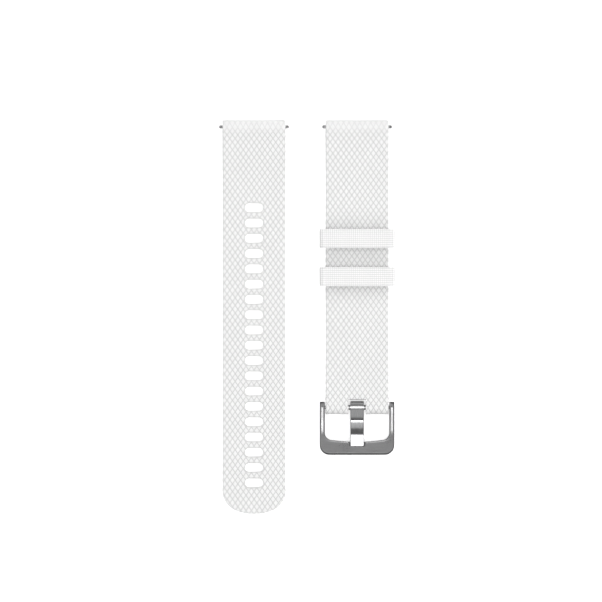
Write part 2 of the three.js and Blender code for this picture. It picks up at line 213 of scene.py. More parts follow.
def ladder(name: str, rungs: Array, low: float, high: float) -> bpy.types.Object:
    """Makes a long slab from its rungs, with a row of faces between each rung and the next.

    Args:
        name: The object's name.
        rungs: One row per rung: its left end, its right end and its place along the slab.
        low: Height of the slab's bottom.
        high: Height of its top.

    Returns:
        The new object.
    """
    left, right, along = np.asarray(rungs, float).T
    corners = [(left, low), (right, low), (right, high), (left, high)]
    vertices = np.stack(
        [np.stack([x, along, np.full_like(x, z)], axis=1) for x, z in corners], axis=1
    ).reshape(-1, 3)
    last = 4 * (len(left) - 1)
    faces: Faces = [(0, 1, 2, 3), (last + 3, last + 2, last + 1, last)]
    for start in range(0, last, 4):
        for k in range(4):
            m = (k + 1) % 4
            faces.append((start + k, start + 4 + k, start + 4 + m, start + m))
    return new_object(name, vertices, faces)


def loft(name: str, sections: Array) -> bpy.types.Object:
    """Skins closed sections one after another and caps both ends.

    Args:
        name: The object's name.
        sections: An array of shape (sections, points, 3).

    Returns:
        The new object, with its faces outwards.
    """
    count, around = sections.shape[:2]
    faces: Faces = [tuple(range(around)), tuple(range((count - 1) * around, count * around))]
    for i in range(count - 1):
        for j in range(around):
            k = (j + 1) % around
            faces.append((i * around + j, i * around + k, (i + 1) * around + k, (i + 1) * around + j))
    made = new_object(name, sections.reshape(-1, 3), faces)
    face_outwards(made)
    return made


def turned(
    name: str, profile: Sequence[tuple[float, float]], centre: Vector, axis: Vector
) -> bpy.types.Object:
    """Turns a profile about an axis into a closed, round piece.

    Args:
        name: The object's name.
        profile: Points (distance along the axis, radius), ending on the axis or closing on themselves.
        centre: The point that distances are measured from.
        axis: The direction of the axis.

    Returns:
        The new object, shaded smooth.
    """
    sides = 48
    work = bmesh.new()
    spin = [work.verts.new((radius, 0, along)) for along, radius in profile]
    edges = [work.edges.new(pair) for pair in zip(spin, spin[1:])]
    bmesh.ops.spin(
        work, geom=spin + edges, cent=(0, 0, 0), axis=(0, 0, 1), angle=2 * math.pi, steps=sides, use_merge=True
    )
    bmesh.ops.remove_doubles(work, verts=work.verts, dist=1e-7)
    bmesh.ops.recalc_face_normals(work, faces=work.faces)
    bmesh.ops.rotate(
        work, verts=work.verts, cent=(0, 0, 0), matrix=Vector((0, 0, 1)).rotation_difference(axis).to_matrix()
    )
    bmesh.ops.translate(work, verts=work.verts, vec=centre)
    mesh = bpy.data.meshes.new(name)
    work.to_mesh(mesh)
    work.free()
    made = bpy.data.objects.new(name, mesh)
    bpy.context.scene.collection.objects.link(made)
    smooth(made, 30)
    return made


def fillet(x: float, radius: float, toward_x: int, toward_r: int, size: float) -> list[tuple[float, float]]:
    """Rounds one outer corner of a turned profile.

    Args:
        x: The corner's distance along the axis.
        radius: The corner's radius.
        toward_x: +1 where the piece lies beyond the corner along the axis, -1 where it lies before it.
        toward_r: +1 where the profile reaches the corner from the axis, -1 where it leaves towards the axis.
        size: The fillet's radius.

    Returns:
        Profile points in order.
    """
    steps = 5
    angles = [math.pi / 2 * i / steps for i in range(steps + 1)]
    arc = [
        (x + toward_x * size * (1 - math.sin(a)), radius - size * (1 - math.cos(a)))
        for a in angles
    ]
    return arc[::-1] if toward_r > 0 else arc


# ---------------------------------------------------------------- shader groups


class Nodes:
    """Adds shader nodes to one tree with little writing."""

    def __init__(self, tree: bpy.types.NodeTree) -> None:
        """Starts work on a tree."""
        self.tree = tree

    def add(self, kind: str, **settings: object) -> bpy.types.Node:
        """Adds a node and sets its properties."""
        node = self.tree.nodes.new(kind)
        for name, value in settings.items():
            setattr(node, name, value)
        return node

    def join(self, source: object, target: bpy.types.NodeSocket) -> None:
        """Links a socket, or sets a number or colour, on a target socket."""
        if isinstance(source, bpy.types.NodeSocket):
            self.tree.links.new(source, target)
        else:
            target.default_value = source

    def math(self, operation: str, *values: object) -> bpy.types.NodeSocket:
        """Adds a Math node and gives back its result."""
        node = self.add("ShaderNodeMath", operation=operation)
        for value, socket in zip(values, node.inputs):
            self.join(value, socket)
        return node.outputs[0]

    def between(
        self, value: object, low: float, high: float, start: float = 0.0, end: float = 1.0
    ) -> bpy.types.NodeSocket:
        """Maps a value smoothly from the range low to high on to the range start to end."""
        node = self.add("ShaderNodeMapRange", interpolation_type="SMOOTHSTEP")
        for given, socket in zip((value, low, high, start, end), node.inputs):
            self.join(given, socket)
        return node.outputs[0]

    def mix(self, share: object, first: object, second: object) -> bpy.types.NodeSocket:
        """Mixes two colours."""
        node = self.add("ShaderNodeMix", data_type="RGBA")
        self.join(share, node.inputs[0])
        for given, socket in ((first, node.inputs[6]), (second, node.inputs[7])):
            self.join((*given, 1.0) if isinstance(given, tuple) else given, socket)
        return node.outputs[2]

    def noise(
        self, place: object, scale: object, detail: float = 4.0, roughness: float = 0.55
    ) -> bpy.types.NodeSocket:
        """Adds a noise texture and gives back its value."""
        node = self.add("ShaderNodeTexNoise")
        for given, name in ((place, "Vector"), (scale, "Scale"), (detail, "Detail"), (roughness, "Roughness")):
            self.join(given, node.inputs[name])
        return node.outputs["Fac"]


def new_group(
    name: str, inputs: dict[str, float], outputs: Sequence[str], build: Callable[[Nodes, dict], dict]
) -> bpy.types.NodeTree:
    """Builds a shader node group once.

    Args:
        name: The group's name.
        inputs: The group's value inputs and their usual values.
        outputs: The group's value outputs.
        build: Makes the inner nodes from the input sockets, and gives back one socket per output.

    Returns:
        The node group.
    """
    group = bpy.data.node_groups.new(name, "ShaderNodeTree")
    for label, usual in inputs.items():
        socket = group.interface.new_socket(label, in_out="INPUT", socket_type="NodeSocketFloat")
        socket.default_value = usual
    for label in outputs:
        group.interface.new_socket(label, in_out="OUTPUT", socket_type="NodeSocketFloat")
    nodes = Nodes(group)
    entry = nodes.add("NodeGroupInput")
    leave = nodes.add("NodeGroupOutput")
    made = build(nodes, {label: entry.outputs[label] for label in inputs})
    for label in outputs:
        nodes.join(made[label], leave.inputs[label])
    return group


def build_yarns(nodes: Nodes, given: dict) -> dict:
    """Finds each yarn's strands and tone, the grooves between yarns as a mask for painted shade, and the
    slots' rims, from the yarn_place attribute.
    """
    place = nodes.add("ShaderNodeAttribute", attribute_name=PLACE_ATTRIBUTE)
    split = nodes.add("ShaderNodeSeparateXYZ")
    nodes.join(place.outputs["Vector"], split.inputs[0])
    across = nodes.math("DIVIDE", split.outputs[0], given["Cell Width"])
    along = nodes.math("DIVIDE", split.outputs[1], given["Cell Length"])
    diagonal = given["Diagonal"]
    first = nodes.math("MULTIPLY_ADD", along, diagonal, across)
    keep = nodes.math("MULTIPLY_ADD", diagonal, -2.0, 1.0)
    second = nodes.math("ADD", nodes.math("MULTIPLY", across, diagonal), nodes.math("MULTIPLY", along, keep))
    cell_a, cell_b = nodes.math("FLOOR", first), nodes.math("FLOOR", second)
    from_a = nodes.math("SUBTRACT", nodes.math("FRACT", first), 0.5)
    from_b = nodes.math("SUBTRACT", nodes.math("FRACT", second), 0.5)
    odd = nodes.math("FLOORED_MODULO", nodes.math("ADD", cell_a, cell_b), 2.0)
    even = nodes.math("SUBTRACT", 1.0, odd)
    side = nodes.math("ADD", nodes.math("MULTIPLY", from_a, odd), nodes.math("MULTIPLY", from_b, even))
    turns = nodes.math("MULTIPLY", side, nodes.math("MULTIPLY", given["Strands"], 2 * math.pi))
    strand = nodes.math("MULTIPLY_ADD", nodes.math("COSINE", turns), 0.5, 0.5)
    reach = nodes.math("MAXIMUM", nodes.math("ABSOLUTE", from_a), nodes.math("ABSOLUTE", from_b))
    lesser = nodes.math("MINIMUM", nodes.math("ABSOLUTE", from_a), nodes.math("ABSOLUTE", from_b))
    # The groove mask says where shade is painted into the base colour: along the grooves, lighter at the open
    # corners.
    open_corner = nodes.between(lesser, 0.36, 0.5, 1.0, 0.4)
    groove = nodes.math("MULTIPLY", nodes.between(reach, 0.38, 0.48), open_corner)
    # Less painted shade where the tape is pulled tight round a bar, so the lug loops show lighter.
    tight = nodes.math("MAXIMUM", nodes.math("MULTIPLY", split.outputs[2], -1.0), 0.0)
    groove_shade = nodes.math("MULTIPLY", groove, nodes.math("MULTIPLY_ADD", tight, -0.55, 1.0))
    # The slots' rims, where shade is painted.
    rim = nodes.math("MAXIMUM", split.outputs[2], 0.0)
    name = nodes.add("ShaderNodeCombineXYZ")
    nodes.join(nodes.math("MULTIPLY", cell_a, odd), name.inputs[0])
    nodes.join(nodes.math("MULTIPLY", cell_b, even), name.inputs[1])
    tone = nodes.add("ShaderNodeTexWhiteNoise", noise_dimensions="2D")
    nodes.join(name.outputs[0], tone.inputs["Vector"])
    return {"Groove Shade": groove_shade, "Strand": strand, "Tone": tone.outputs["Value"], "Rim Shade": rim}


def build_fuzz(nodes: Nodes, given: dict) -> dict:
    """Mixes fine fibre noise with slow, soiled patches."""
    place = nodes.add("ShaderNodeTexCoord").outputs["Object"]
    fibre = nodes.noise(place, given["Fibre Scale"], 6.0, 0.7)
    patch = nodes.noise(place, given["Patch Scale"], 3.0)
    return {"Fibre": fibre, "Patch": nodes.between(patch, 0.35, 0.7)}


def build_grain(nodes: Nodes, given: dict) -> dict:
    """Draws fine lines along X or Y, as an abrasive belt leaves them, with slow changes of depth."""
    place = nodes.add("ShaderNodeTexCoord").outputs["Object"]
    stretch = nodes.add("ShaderNodeCombineXYZ")
    for label, socket in zip(("Across X", "Across Y", "Across Z"), stretch.inputs):
        nodes.join(given[label], socket)
    scaled = nodes.add("ShaderNodeVectorMath", operation="MULTIPLY")
    nodes.join(place, scaled.inputs[0])
    nodes.join(stretch.outputs[0], scaled.inputs[1])
    line = nodes.noise(scaled.outputs[0], 1.0, 5.0, 0.65)
    cloud = nodes.noise(place, 260.0, 3.0)
    return {"Line": line, "Cloud": cloud}


def build_wear(nodes: Nodes, given: dict) -> dict:
    """Finds outer edges, where handling has polished the surface."""
    rounded = nodes.add("ShaderNodeBevel")
    rounded.samples = 8
    rounded.inputs["Radius"].default_value = 0.12 * MM
    compare = nodes.add("ShaderNodeVectorMath", operation="DOT_PRODUCT")
    nodes.join(rounded.outputs["Normal"], compare.inputs[0])
    nodes.join(nodes.add("ShaderNodeNewGeometry").outputs["Normal"], compare.inputs[1])
    place = nodes.add("ShaderNodeTexCoord").outputs["Object"]
    edge = nodes.between(compare.outputs["Value"], 0.98, 0.9)
    broken = nodes.between(nodes.noise(place, 900.0, 4.0), 0.3, 0.6)
    worn = nodes.math("MULTIPLY", nodes.math("MULTIPLY", edge, broken), given["Amount"])
    return {"Edge": worn}


@dataclass
class Effects:
    """The node groups that several finishes share."""

    yarns: bpy.types.NodeTree = field(
        default_factory=lambda: new_group(
            "Yarn Lattice",
            {"Cell Width": 1.7 * MM, "Cell Length": 2.4 * MM, "Diagonal": 1.0, "Strands": 3.0},
            ("Groove Shade", "Strand", "Tone", "Rim Shade"),
            build_yarns,
        )
    )
    fuzz: bpy.types.NodeTree = field(
        default_factory=lambda: new_group(
            "Fibre Fuzz", {"Fibre Scale": 9000.0, "Patch Scale": 90.0}, ("Fibre", "Patch"), build_fuzz
        )
    )
    grain: bpy.types.NodeTree = field(
        default_factory=lambda: new_group(
            "Brushed Grain",
            {"Across X": 300.0, "Across Y": 9000.0, "Across Z": 9000.0},
            ("Line", "Cloud"),
            build_grain,
        )
    )
    wear: bpy.types.NodeTree = field(
        default_factory=lambda: new_group("Handling Wear", {"Amount": 1.0}, ("Edge",), build_wear)
    )


def start_material(name: str, colour: Colour) -> tuple[bpy.types.Material, Nodes, bpy.types.Node]:
    """Makes a node material.

    Args:
        name: The material's name.
        colour: Its colour outside the render.

    Returns:
        The material, its nodes and its Principled BSDF.
    """
    material = bpy.data.materials.new(name)
    material.use_nodes = True
    material.diffuse_color = (*colour, 1.0)
    return material, Nodes(material.node_tree), material.node_tree.nodes["Principled BSDF"]


def place_group(nodes: Nodes, group: bpy.types.NodeTree, values: dict[str, float]) -> bpy.types.Node:
    """Places a node group in a material with its own values."""
    node = nodes.add("ShaderNodeGroup", node_tree=group)
    for label, value in values.items():
        node.inputs[label].default_value = value
    return node


def bump(nodes: Nodes, shader: bpy.types.Node, height: bpy.types.NodeSocket, distance: float) -> None:
    """Feeds a height through a Bump node to the shader's normal."""
    node = nodes.add("ShaderNodeBump")
    node.inputs["Strength"].default_value = 1.0
    node.inputs["Distance"].default_value = distance
    nodes.join(height, node.inputs["Height"])
    nodes.join(node.outputs[0], shader.inputs["Normal"])


# ---------------------------------------------------------------- weaves


@dataclass(frozen=True)
class Weave:
    """A lattice of yarns that pass over and under each other.

    Attributes:
        cell_width: A cell's size across the tape.
        cell_length: A cell's size along the tape.
        diagonal: True for yarns that cross at a slant, in diamonds; False for a square weave.
        relief: How far the grooves lie under the yarns' crowns.
        strands: Strands to each yarn.
        samples: Where a cell's mesh lines lie, from one groove to the next.
    """

    cell_width: float
    cell_length: float
    diagonal: bool
    relief: float
    strands: int
    samples: tuple[float, ...]

    def plane(self, a: Array, b: Array) -> tuple[Array, Array]:
        """Turns lattice coordinates into places across and along the tape."""
        if self.diagonal:
            return (a + b) / 2 * self.cell_width, (a - b) / 2 * self.cell_length
        return a * self.cell_width, b * self.cell_length

    def lattice(self, u: Array, s: Array) -> tuple[Array, Array]:
        """Turns places across and along the tape into lattice coordinates."""
        if self.diagonal:
            return u / self.cell_width + s / self.cell_length, u / self.cell_width - s / self.cell_length
        return u / self.cell_width, s / self.cell_length

    def depth(self, cell_a: Array, cell_b: Array, in_a: Array, in_b: Array) -> Array:
        """How far a point lies under the crowns.

        Args:
            cell_a: The cell's first index.
            cell_b: The cell's second index.
            in_a: The place in the cell, from 0 to 1.
            in_b: The same, the other way.

        Returns:
            The depth at each point, from 0 to the relief.
        """
        odd = (cell_a + cell_b) % 2 == 1
        from_a, from_b = np.abs(2 * in_a - 1), np.abs(2 * in_b - 1)
        side, run = np.where(odd, from_a, from_b), np.where(odd, from_b, from_a)
        reach = (side**8 + run**11) ** (1 / 8)
        lesser = np.minimum(from_a, from_b)
        return self.relief * (1 - (1 - reach**2.4).clip(0) ** 0.6) * (1 - 0.5 * lesser**4)

    def block(self, name: str, half_width: float, start: float, end: float, floor: float) -> bpy.types.Object:
        """Makes a closed block whose top is the woven face, larger all round than the strip asked for.

        Args:
            name: The object's name.
            half_width: Half the strip's width.
            start: Where the strip starts along the tape.
            end: Where it ends.
            floor: Height of the block's flat bottom. The crowns are at height 0.

        Returns:
            The new object.
        """
        corner_a, corner_b = self.lattice(
            np.array([-half_width, half_width, -half_width, half_width]), np.array([start, start, end, end])
        )
        grid_a, grid_b = np.meshgrid(
            np.arange(math.floor(corner_a.min()) - 1, math.ceil(corner_a.max()) + 1),
            np.arange(math.floor(corner_b.min()) - 1, math.ceil(corner_b.max()) + 1),
            indexing="ij",
        )
        centre_u, centre_s = self.plane(grid_a + 0.5, grid_b + 0.5)
        near = (np.abs(centre_u) < half_width + self.cell_width * 0.75) & (
            (centre_s > start - self.cell_length * 0.75) & (centre_s < end + self.cell_length * 0.75)
        )
        cells_a, cells_b = grid_a[near], grid_b[near]
        steps = len(self.samples) - 1
        low_a, low_b = cells_a.min(), cells_b.min()
        stride = (cells_b.max() - low_b + 2) * steps + 1

        def keys(fine_a: Array, fine_b: Array) -> Array:
            return fine_a * stride + fine_b

        step_a, step_b = np.meshgrid(np.arange(steps + 1), np.arange(steps + 1), indexing="ij")
        fine_a = (cells_a - low_a)[:, None, None] * steps + step_a
        fine_b = (cells_b - low_b)[:, None, None] * steps + step_b
        cell_keys = keys(fine_a, fine_b)
        unique, first, index = np.unique(cell_keys, return_index=True, return_inverse=True)
        index = index.reshape(cell_keys.shape)
        positions = np.array(self.samples)
        in_a, in_b = positions[step_a], positions[step_b]
        u, s = self.plane(cells_a[:, None, None] + in_a, cells_b[:, None, None] + in_b)
        in_a, in_b = np.broadcast_to(in_a, u.shape), np.broadcast_to(in_b, u.shape)
        depth = self.depth(cells_a[:, None, None], cells_b[:, None, None], in_a, in_b)
        top = np.stack([u.ravel(), s.ravel(), -depth.ravel()], axis=1)[first]
        quads = np.stack(
            [index[:, :-1, :-1], index[:, 1:, :-1], index[:, 1:, 1:], index[:, :-1, 1:]], axis=-1
        ).reshape(-1, 4)
        corner_index = index[:, [0, -1, -1, 0], [0, 0, -1, -1]]
        used, bottom_index = np.unique(corner_index, return_inverse=True)
        bottom_index = bottom_index.reshape(corner_index.shape) + len(unique)
        bottom = top[used].copy()
        bottom[:, 2] = floor
        faces: Faces = [tuple(q) for q in quads.tolist()]
        faces += [tuple(q) for q in bottom_index[:, ::-1].tolist()]
        kept = set(zip(cells_a.tolist(), cells_b.tolist()))
        borders = (
            ((0, -1), index[:, :, 0], (0, 1)),
            ((1, 0), index[:, -1, :], (1, 2)),
            ((0, 1), index[:, ::-1, -1], (2, 3)),
            ((-1, 0), index[:, 0, ::-1], (3, 0)),
        )
        for (next_a, next_b), line, (here, there) in borders:
            for i, (a, b) in enumerate(zip(cells_a.tolist(), cells_b.tolist())):
                if (a + next_a, b + next_b) not in kept:
                    below = (int(bottom_index[i, here]), int(bottom_index[i, there]))
                    faces.append((*line[i, ::-1].tolist(), *below))
        if self.diagonal:
            faces = [face[::-1] for face in faces]
        return new_object(name, np.concatenate([top, bottom]), faces)


DIAMOND_WEAVE = Weave(1.70 * MM, 2.389 * MM, True, 0.15 * MM, 3, (0, 0.06, 0.2, 0.5, 0.8, 0.94, 1))
TAPE_WEAVE = Weave(0.64 * MM, 0.6 * MM, False, 0.09 * MM, 2, (0, 0.16, 0.5, 0.84, 1))


@dataclass(frozen=True)
class Route:
    """The middle line of a ply in its own plane, walked by distance.

    Attributes:
        points: Close points (along, up), one row each.
        zero: The distance that the first point counts as.
    """

    points: Array
    zero: float

    @property
    def distances(self) -> Array:
        """Each point's distance along the route."""
        gaps = np.linalg.norm(np.diff(self.points, axis=0), axis=1)
        return self.zero + np.concatenate([[0.0], np.cumsum(gaps)])

    def place(self, s: Array, out: Array) -> tuple[Array, Array]:
        """Finds the points at distances s along the route and out to its left.

        Args:
            s: Distances along the route.
            out: Distances from it, outwards.

        Returns:
            The points' places along and up.
        """
        walked = self.distances
        tangent = np.gradient(self.points, walked, axis=0)
        tangent /= np.linalg.norm(tangent, axis=1)[:, None]
        along, up, turn_along, turn_up = (
            np.interp(s, walked, values) for values in (*self.points.T, *tangent.T)
        )
        size = np.hypot(turn_along, turn_up)
        return along - out * turn_up / size, up + out * turn_along / size


def fine(points: Array, gap: float) -> Array:
    """Fills a line in with points about a gap apart."""
    walked = np.concatenate([[0.0], np.cumsum(np.linalg.norm(np.diff(points, axis=0), axis=1))])
    steps = np.linspace(0, walked[-1], max(2, round(walked[-1] / gap) + 1))
    return np.stack([np.interp(steps, walked, points[:, k]) for k in range(2)], axis=1)


def bezier(points: Sequence[tuple[float, float]], count: int = 40) -> Array:
    """Points on a Bezier curve of any degree."""
    t = np.linspace(0, 1, count)[:, None]
    degree = len(points) - 1
    return sum(
        math.comb(degree, k) * t**k * (1 - t) ** (degree - k) * np.array(point)
        for k, point in enumerate(points)
    )


def arc(
    centre: tuple[float, float], radius: float, start_deg: float, end_deg: float, count: int = 24
) -> Array:
    """Points on an arc, from one angle to another."""
    angles = np.radians(np.linspace(start_deg, end_deg, count))
    return np.stack([centre[0] + radius * np.cos(angles), centre[1] + radius * np.sin(angles)], axis=1)


def level_line(start: float, end: float, up: float) -> Array:
    """A straight line at one height, with a point every 0.1 mm."""
    return fine(np.array([(start, up), (end, up)]), 0.1 * MM)


def rectangle(left: float, right: float, low: float, high: float) -> Array:
    """A rectangle's corners, counter-clockwise."""
    return np.array([(left, low), (right, low), (right, high), (left, high)])


def slot_outline(u: float, s: float, length: float, width: float) -> Array:
    """A slot with round ends, counter-clockwise, its length across the tape."""
    radius, straight = width / 2, (length - width) / 2
    return np.concatenate(
        [arc((u + straight, s), radius, -90, 90, 12), arc((u - straight, s), radius, 90, 270, 12)]
    )


# ---------------------------------------------------------------- finishes


@dataclass(frozen=True)
class YarnFinish:
    """White synthetic yarn.

    Attributes:
        name: The material's name.
        weave: The weave that its strands follow.
        crown: Colour of the yarns' crowns.
        groove: Painted shade colour for the grooves between yarns and the gaps between strands.
        rim: Painted shade colour at the heat-cut slots' rims.
        strand_depth: Height of the strands' relief.
    """

    name: str
    weave: Weave
    crown: Colour
    groove: Colour
    rim: Colour
    strand_depth: float

    def material(self, effects: Effects) -> bpy.types.Material:
        """Builds the material."""
        material, nodes, shader = start_material(self.name, self.crown)
        yarns = place_group(
            nodes,
            effects.yarns,
            {
                "Cell Width": self.weave.cell_width,
                "Cell Length": self.weave.cell_length,
                "Diagonal": float(self.weave.diagonal),
                "Strands": float(self.weave.strands),
            },
        )
        fuzz = place_group(nodes, effects.fuzz, {"Fibre Scale": 9000.0, "Patch Scale": 70.0})
        toned = nodes.mix(
            nodes.math("MULTIPLY", yarns.outputs["Tone"], 0.35), self.crown, tuple(0.9 * c for c in self.crown)
        )
        # Painted shade in the gaps between strands, in the groove colour.
        shade_between_strands = nodes.math("MULTIPLY", nodes.math("SUBTRACT", 1.0, yarns.outputs["Strand"]), 0.2)
        stranded = nodes.mix(shade_between_strands, toned, self.groove)
        # Painted shade in the grooves between yarns.
        groove_shaded = nodes.mix(yarns.outputs["Groove Shade"], stranded, self.groove)
        soiled = nodes.mix(
            nodes.math("MULTIPLY", fuzz.outputs["Patch"], 0.1), groove_shaded, tuple(0.88 * c for c in self.crown)
        )
        # Painted shade at the heat-cut slots' rims.
        nodes.join(nodes.mix(yarns.outputs["Rim Shade"], soiled, self.rim), shader.inputs["Base Color"])
        nodes.join(nodes.between(fuzz.outputs["Fibre"], 0.2, 0.8, 0.62, 0.9), shader.inputs["Roughness"])
        height = nodes.math(
            "MULTIPLY_ADD", fuzz.outputs["Fibre"], 0.45, nodes.math("MULTIPLY", yarns.outputs["Strand"], 0.8)
        )
        bump(nodes, shader, height, self.strand_depth)
        shader.inputs["Sheen Weight"].default_value = 0.15
        shader.inputs["Sheen Roughness"].default_value = 0.5
        return material


@dataclass(frozen=True)
class SteelFinish:
    """Stainless steel, brushed or polished.

    Attributes:
        name: The material's name.
        colour: Its reflective colour.
        smoothest: Lowest roughness.
        roughest: Highest roughness.
        lines: How fine the grain is across X, Y and Z, in lines per metre. A low number is along the grain.
        line_depth: Height of the grain's relief.
        wear: How strongly handled edges are polished.
    """

    name: str
    colour: Colour
    smoothest: float
    roughest: float
    lines: tuple[float, float, float]
    line_depth: float
    wear: float

    def material(self, effects: Effects) -> bpy.types.Material:
        """Builds the material."""
        material, nodes, shader = start_material(self.name, self.colour)
        across = dict(zip(("Across X", "Across Y", "Across Z"), self.lines))
        grain = place_group(nodes, effects.grain, across)
        wear = place_group(nodes, effects.wear, {"Amount": self.wear})
        darker = tuple(0.86 * c for c in self.colour)
        brighter = tuple(min(1.0, 1.25 * c) for c in self.colour)
        lined = nodes.mix(nodes.between(grain.outputs["Line"], 0.35, 0.65), darker, self.colour)
        nodes.join(nodes.mix(wear.outputs["Edge"], lined, brighter), shader.inputs["Base Color"])
        rough = nodes.between(grain.outputs["Cloud"], 0.3, 0.7, self.smoothest, self.roughest)
        polished = nodes.math("MULTIPLY_ADD", wear.outputs["Edge"], -0.4 * self.smoothest, rough)
        nodes.join(polished, shader.inputs["Roughness"])
        bump(nodes, shader, grain.outputs["Line"], self.line_depth)
        shader.inputs["Metallic"].default_value = 1.0
        return material


@dataclass(frozen=True)
class FilmFinish:
    """The milky bonding film between two plies."""

    name: str
    colour: Colour

    def material(self, effects: Effects) -> bpy.types.Material:
        """Builds the material."""
        material, nodes, shader = start_material(self.name, self.colour)
        fuzz = place_group(nodes, effects.fuzz, {"Fibre Scale": 2500.0, "Patch Scale": 120.0})
        clouded = nodes.mix(fuzz.outputs["Patch"], self.colour, tuple(0.85 * c for c in self.colour))
        nodes.join(clouded, shader.inputs["Base Color"])
        nodes.join(nodes.between(fuzz.outputs["Fibre"], 0.2, 0.8, 0.4, 0.65), shader.inputs["Roughness"])
        bump(nodes, shader, fuzz.outputs["Fibre"], 0.01 * MM)
        return material


@dataclass
class Palette:
    """Every finish of the strap, built once."""

    effects: Effects = field(default_factory=Effects)

    def __post_init__(self) -> None:
        """Builds the materials."""
        # shade is the painted shade of the grooves; rim is the painted shade at the slots' rims.
        white, shade, rim = (0.87, 0.87, 0.868), (0.5, 0.5, 0.5), (0.6, 0.6, 0.595)
        webbing = YarnFinish("White Webbing", DIAMOND_WEAVE, white, shade, rim, 0.05 * MM)
        self.webbing = webbing.material(self.effects)
        # The tape's groove colour is painted shade as well.
        self.tape = YarnFinish(
            "White Keeper Tape", TAPE_WEAVE, (0.955, 0.955, 0.955), (0.46, 0.46, 0.46), rim, 0.02 * MM
        ).material(self.effects)
        self.film = FilmFinish("Bonding Film", (0.82, 0.82, 0.79)).material(self.effects)
        self.brushed = SteelFinish(
            "Brushed Steel", (0.45, 0.45, 0.455), 0.27, 0.32, (300.0, 9000.0, 9000.0), 0.006 * MM, 0.6
        ).material(self.effects)
        self.polished = SteelFinish(
            "Polished Steel", (0.45, 0.45, 0.455), 0.08, 0.14, (9000.0, 500.0, 500.0), 0.001 * MM, 0.3
        ).material(self.effects)
        self.turned = SteelFinish(
            "Turned Steel", (0.5, 0.5, 0.505), 0.16, 0.26, (12000.0, 600.0, 600.0), 0.002 * MM, 0.5
        ).material(self.effects)
        self.spring = SteelFinish(
            "Spring Wire", (0.5, 0.5, 0.52), 0.22, 0.34, (6000.0, 900.0, 900.0), 0.002 * MM, 0.3
        ).material(self.effects)


def finish_piece(made: bpy.types.Object, material: bpy.types.Material, node: str) -> None:
    """Dresses a piece and puts it in its CAD node's place.

    Args:
        made: The piece.
        material: Its finish.
        node: The CAD node that it stands for, whose body it rides on.
    """
    made.data.materials.clear()
    made.data.materials.append(material)
    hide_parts(node)
    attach(made, body_of(frame["nodes"][node])[0])
    log.info("%s: %d faces", made.name, len(made.data.polygons))


# ---------------------------------------------------------------- woven pieces


@dataclass
class WovenPly:
    """One ply of woven tape: cut flat, with its edges and holes, then bent along its route.

    Attributes:
        name: The piece's name.
        weave: Its weave.
        thickness: Its thickness.
        rungs: Its outline, one rung per row: left end, right end and place along the tape.
        route: Its middle line.
        place: Turns (across, along, up) into points in the frame.
        cutouts: Closed outlines to cut right through, in (across, along).
        holes: Centres along the tape, length and width of a row of heat-cut slots, or None.
        edge_radius: How far the selvage is rounded over.
        tightness: Gives from 0 to 1 how tightly the tape is pulled at each place along it.
    """

    name: str
    weave: Weave
    thickness: float
    rungs: Array
    route: Route
    place: Callable[[Array, Array, Array], Array]
    cutouts: Sequence[Array] = ()
    holes: tuple[Array, float, float] | None = None
    edge_radius: float = 0.35 * MM
    tightness: Callable[[Array], Array] | None = None

    def build(self) -> bpy.types.Object:
        """Makes the ply's mesh, bent into place."""
        half = max(abs(self.rungs[:, 0]).max(), abs(self.rungs[:, 1]).max())
        start, end = self.rungs[0, 2], self.rungs[-1, 2]
        made = self.weave.block(self.name, half, start, end, -2 * self.thickness)
        carve(made, ladder("outline", self.rungs, -self.thickness, self.thickness), Cut.KEEP_INSIDE)
        outlines = list(self.cutouts)
        if self.holes:
            centres, length, width = self.holes
            outlines += [slot_outline(0.0, s, length, width) for s in centres]
        if outlines:
            carve(made, prisms("cutters", outlines, -3 * self.thickness, 3 * self.thickness), Cut.REMOVE)
        flat = points_of(made)
        rim = self._rim(flat)
        tight = self.tightness(flat[:, 1]) if self.tightness else np.zeros(len(flat))
        self._shape_face(flat, rim, tight)
        along, up = self.route.place(flat[:, 1], flat[:, 2] + self.thickness / 2)
        move_points(made, self.place(flat[:, 0], along, up))
        # The third value carries the slots' rims, for painted shade, less the tightness, which eases the
        # painted groove shade.
        stored = made.data.attributes.new(PLACE_ATTRIBUTE, "FLOAT_VECTOR", "POINT")
        stored.data.foreach_set("vector", np.stack([flat[:, 0], flat[:, 1], rim - tight], axis=1).ravel())
        smooth(made, 60)
        return made

    def _rim(self, flat: Array) -> Array:
        """From 0 to 1, how near each point is to a heat-cut slot's edge."""
        if not self.holes:
            return np.zeros(len(flat))
        centres, length, width = self.holes
        straight = (length - width) / 2
        nearest = centres[np.abs(flat[:, 1][:, None] - centres[None]).argmin(axis=1)]
        distance = np.hypot((np.abs(flat[:, 0]) - straight).clip(0), flat[:, 1] - nearest) - width / 2
        return (1 - distance / (0.4 * MM)).clip(0, 1)

    def _shape_face(self, flat: Array, rim: Array, tight: Array) -> None:
        """Rounds the selvages, sinks the heat-cut rims and eases the relief where the ply is pulled tight."""
        top = flat[:, 2] > -0.5 * self.thickness
        flat[top, 2] *= (1 - 0.5 * tight)[top]
        half = np.interp(flat[:, 1], self.rungs[:, 2], np.abs(self.rungs[:, 1]))
        inside = (half - np.abs(flat[:, 0])).clip(0)
        over = (1 - inside / self.edge_radius).clip(0)
        drop = self.edge_radius * (1 - np.sqrt(1 - over**2)) * 0.8
        flat[:, 2] -= np.where(top, drop + 0.12 * MM * rim**2, 0)


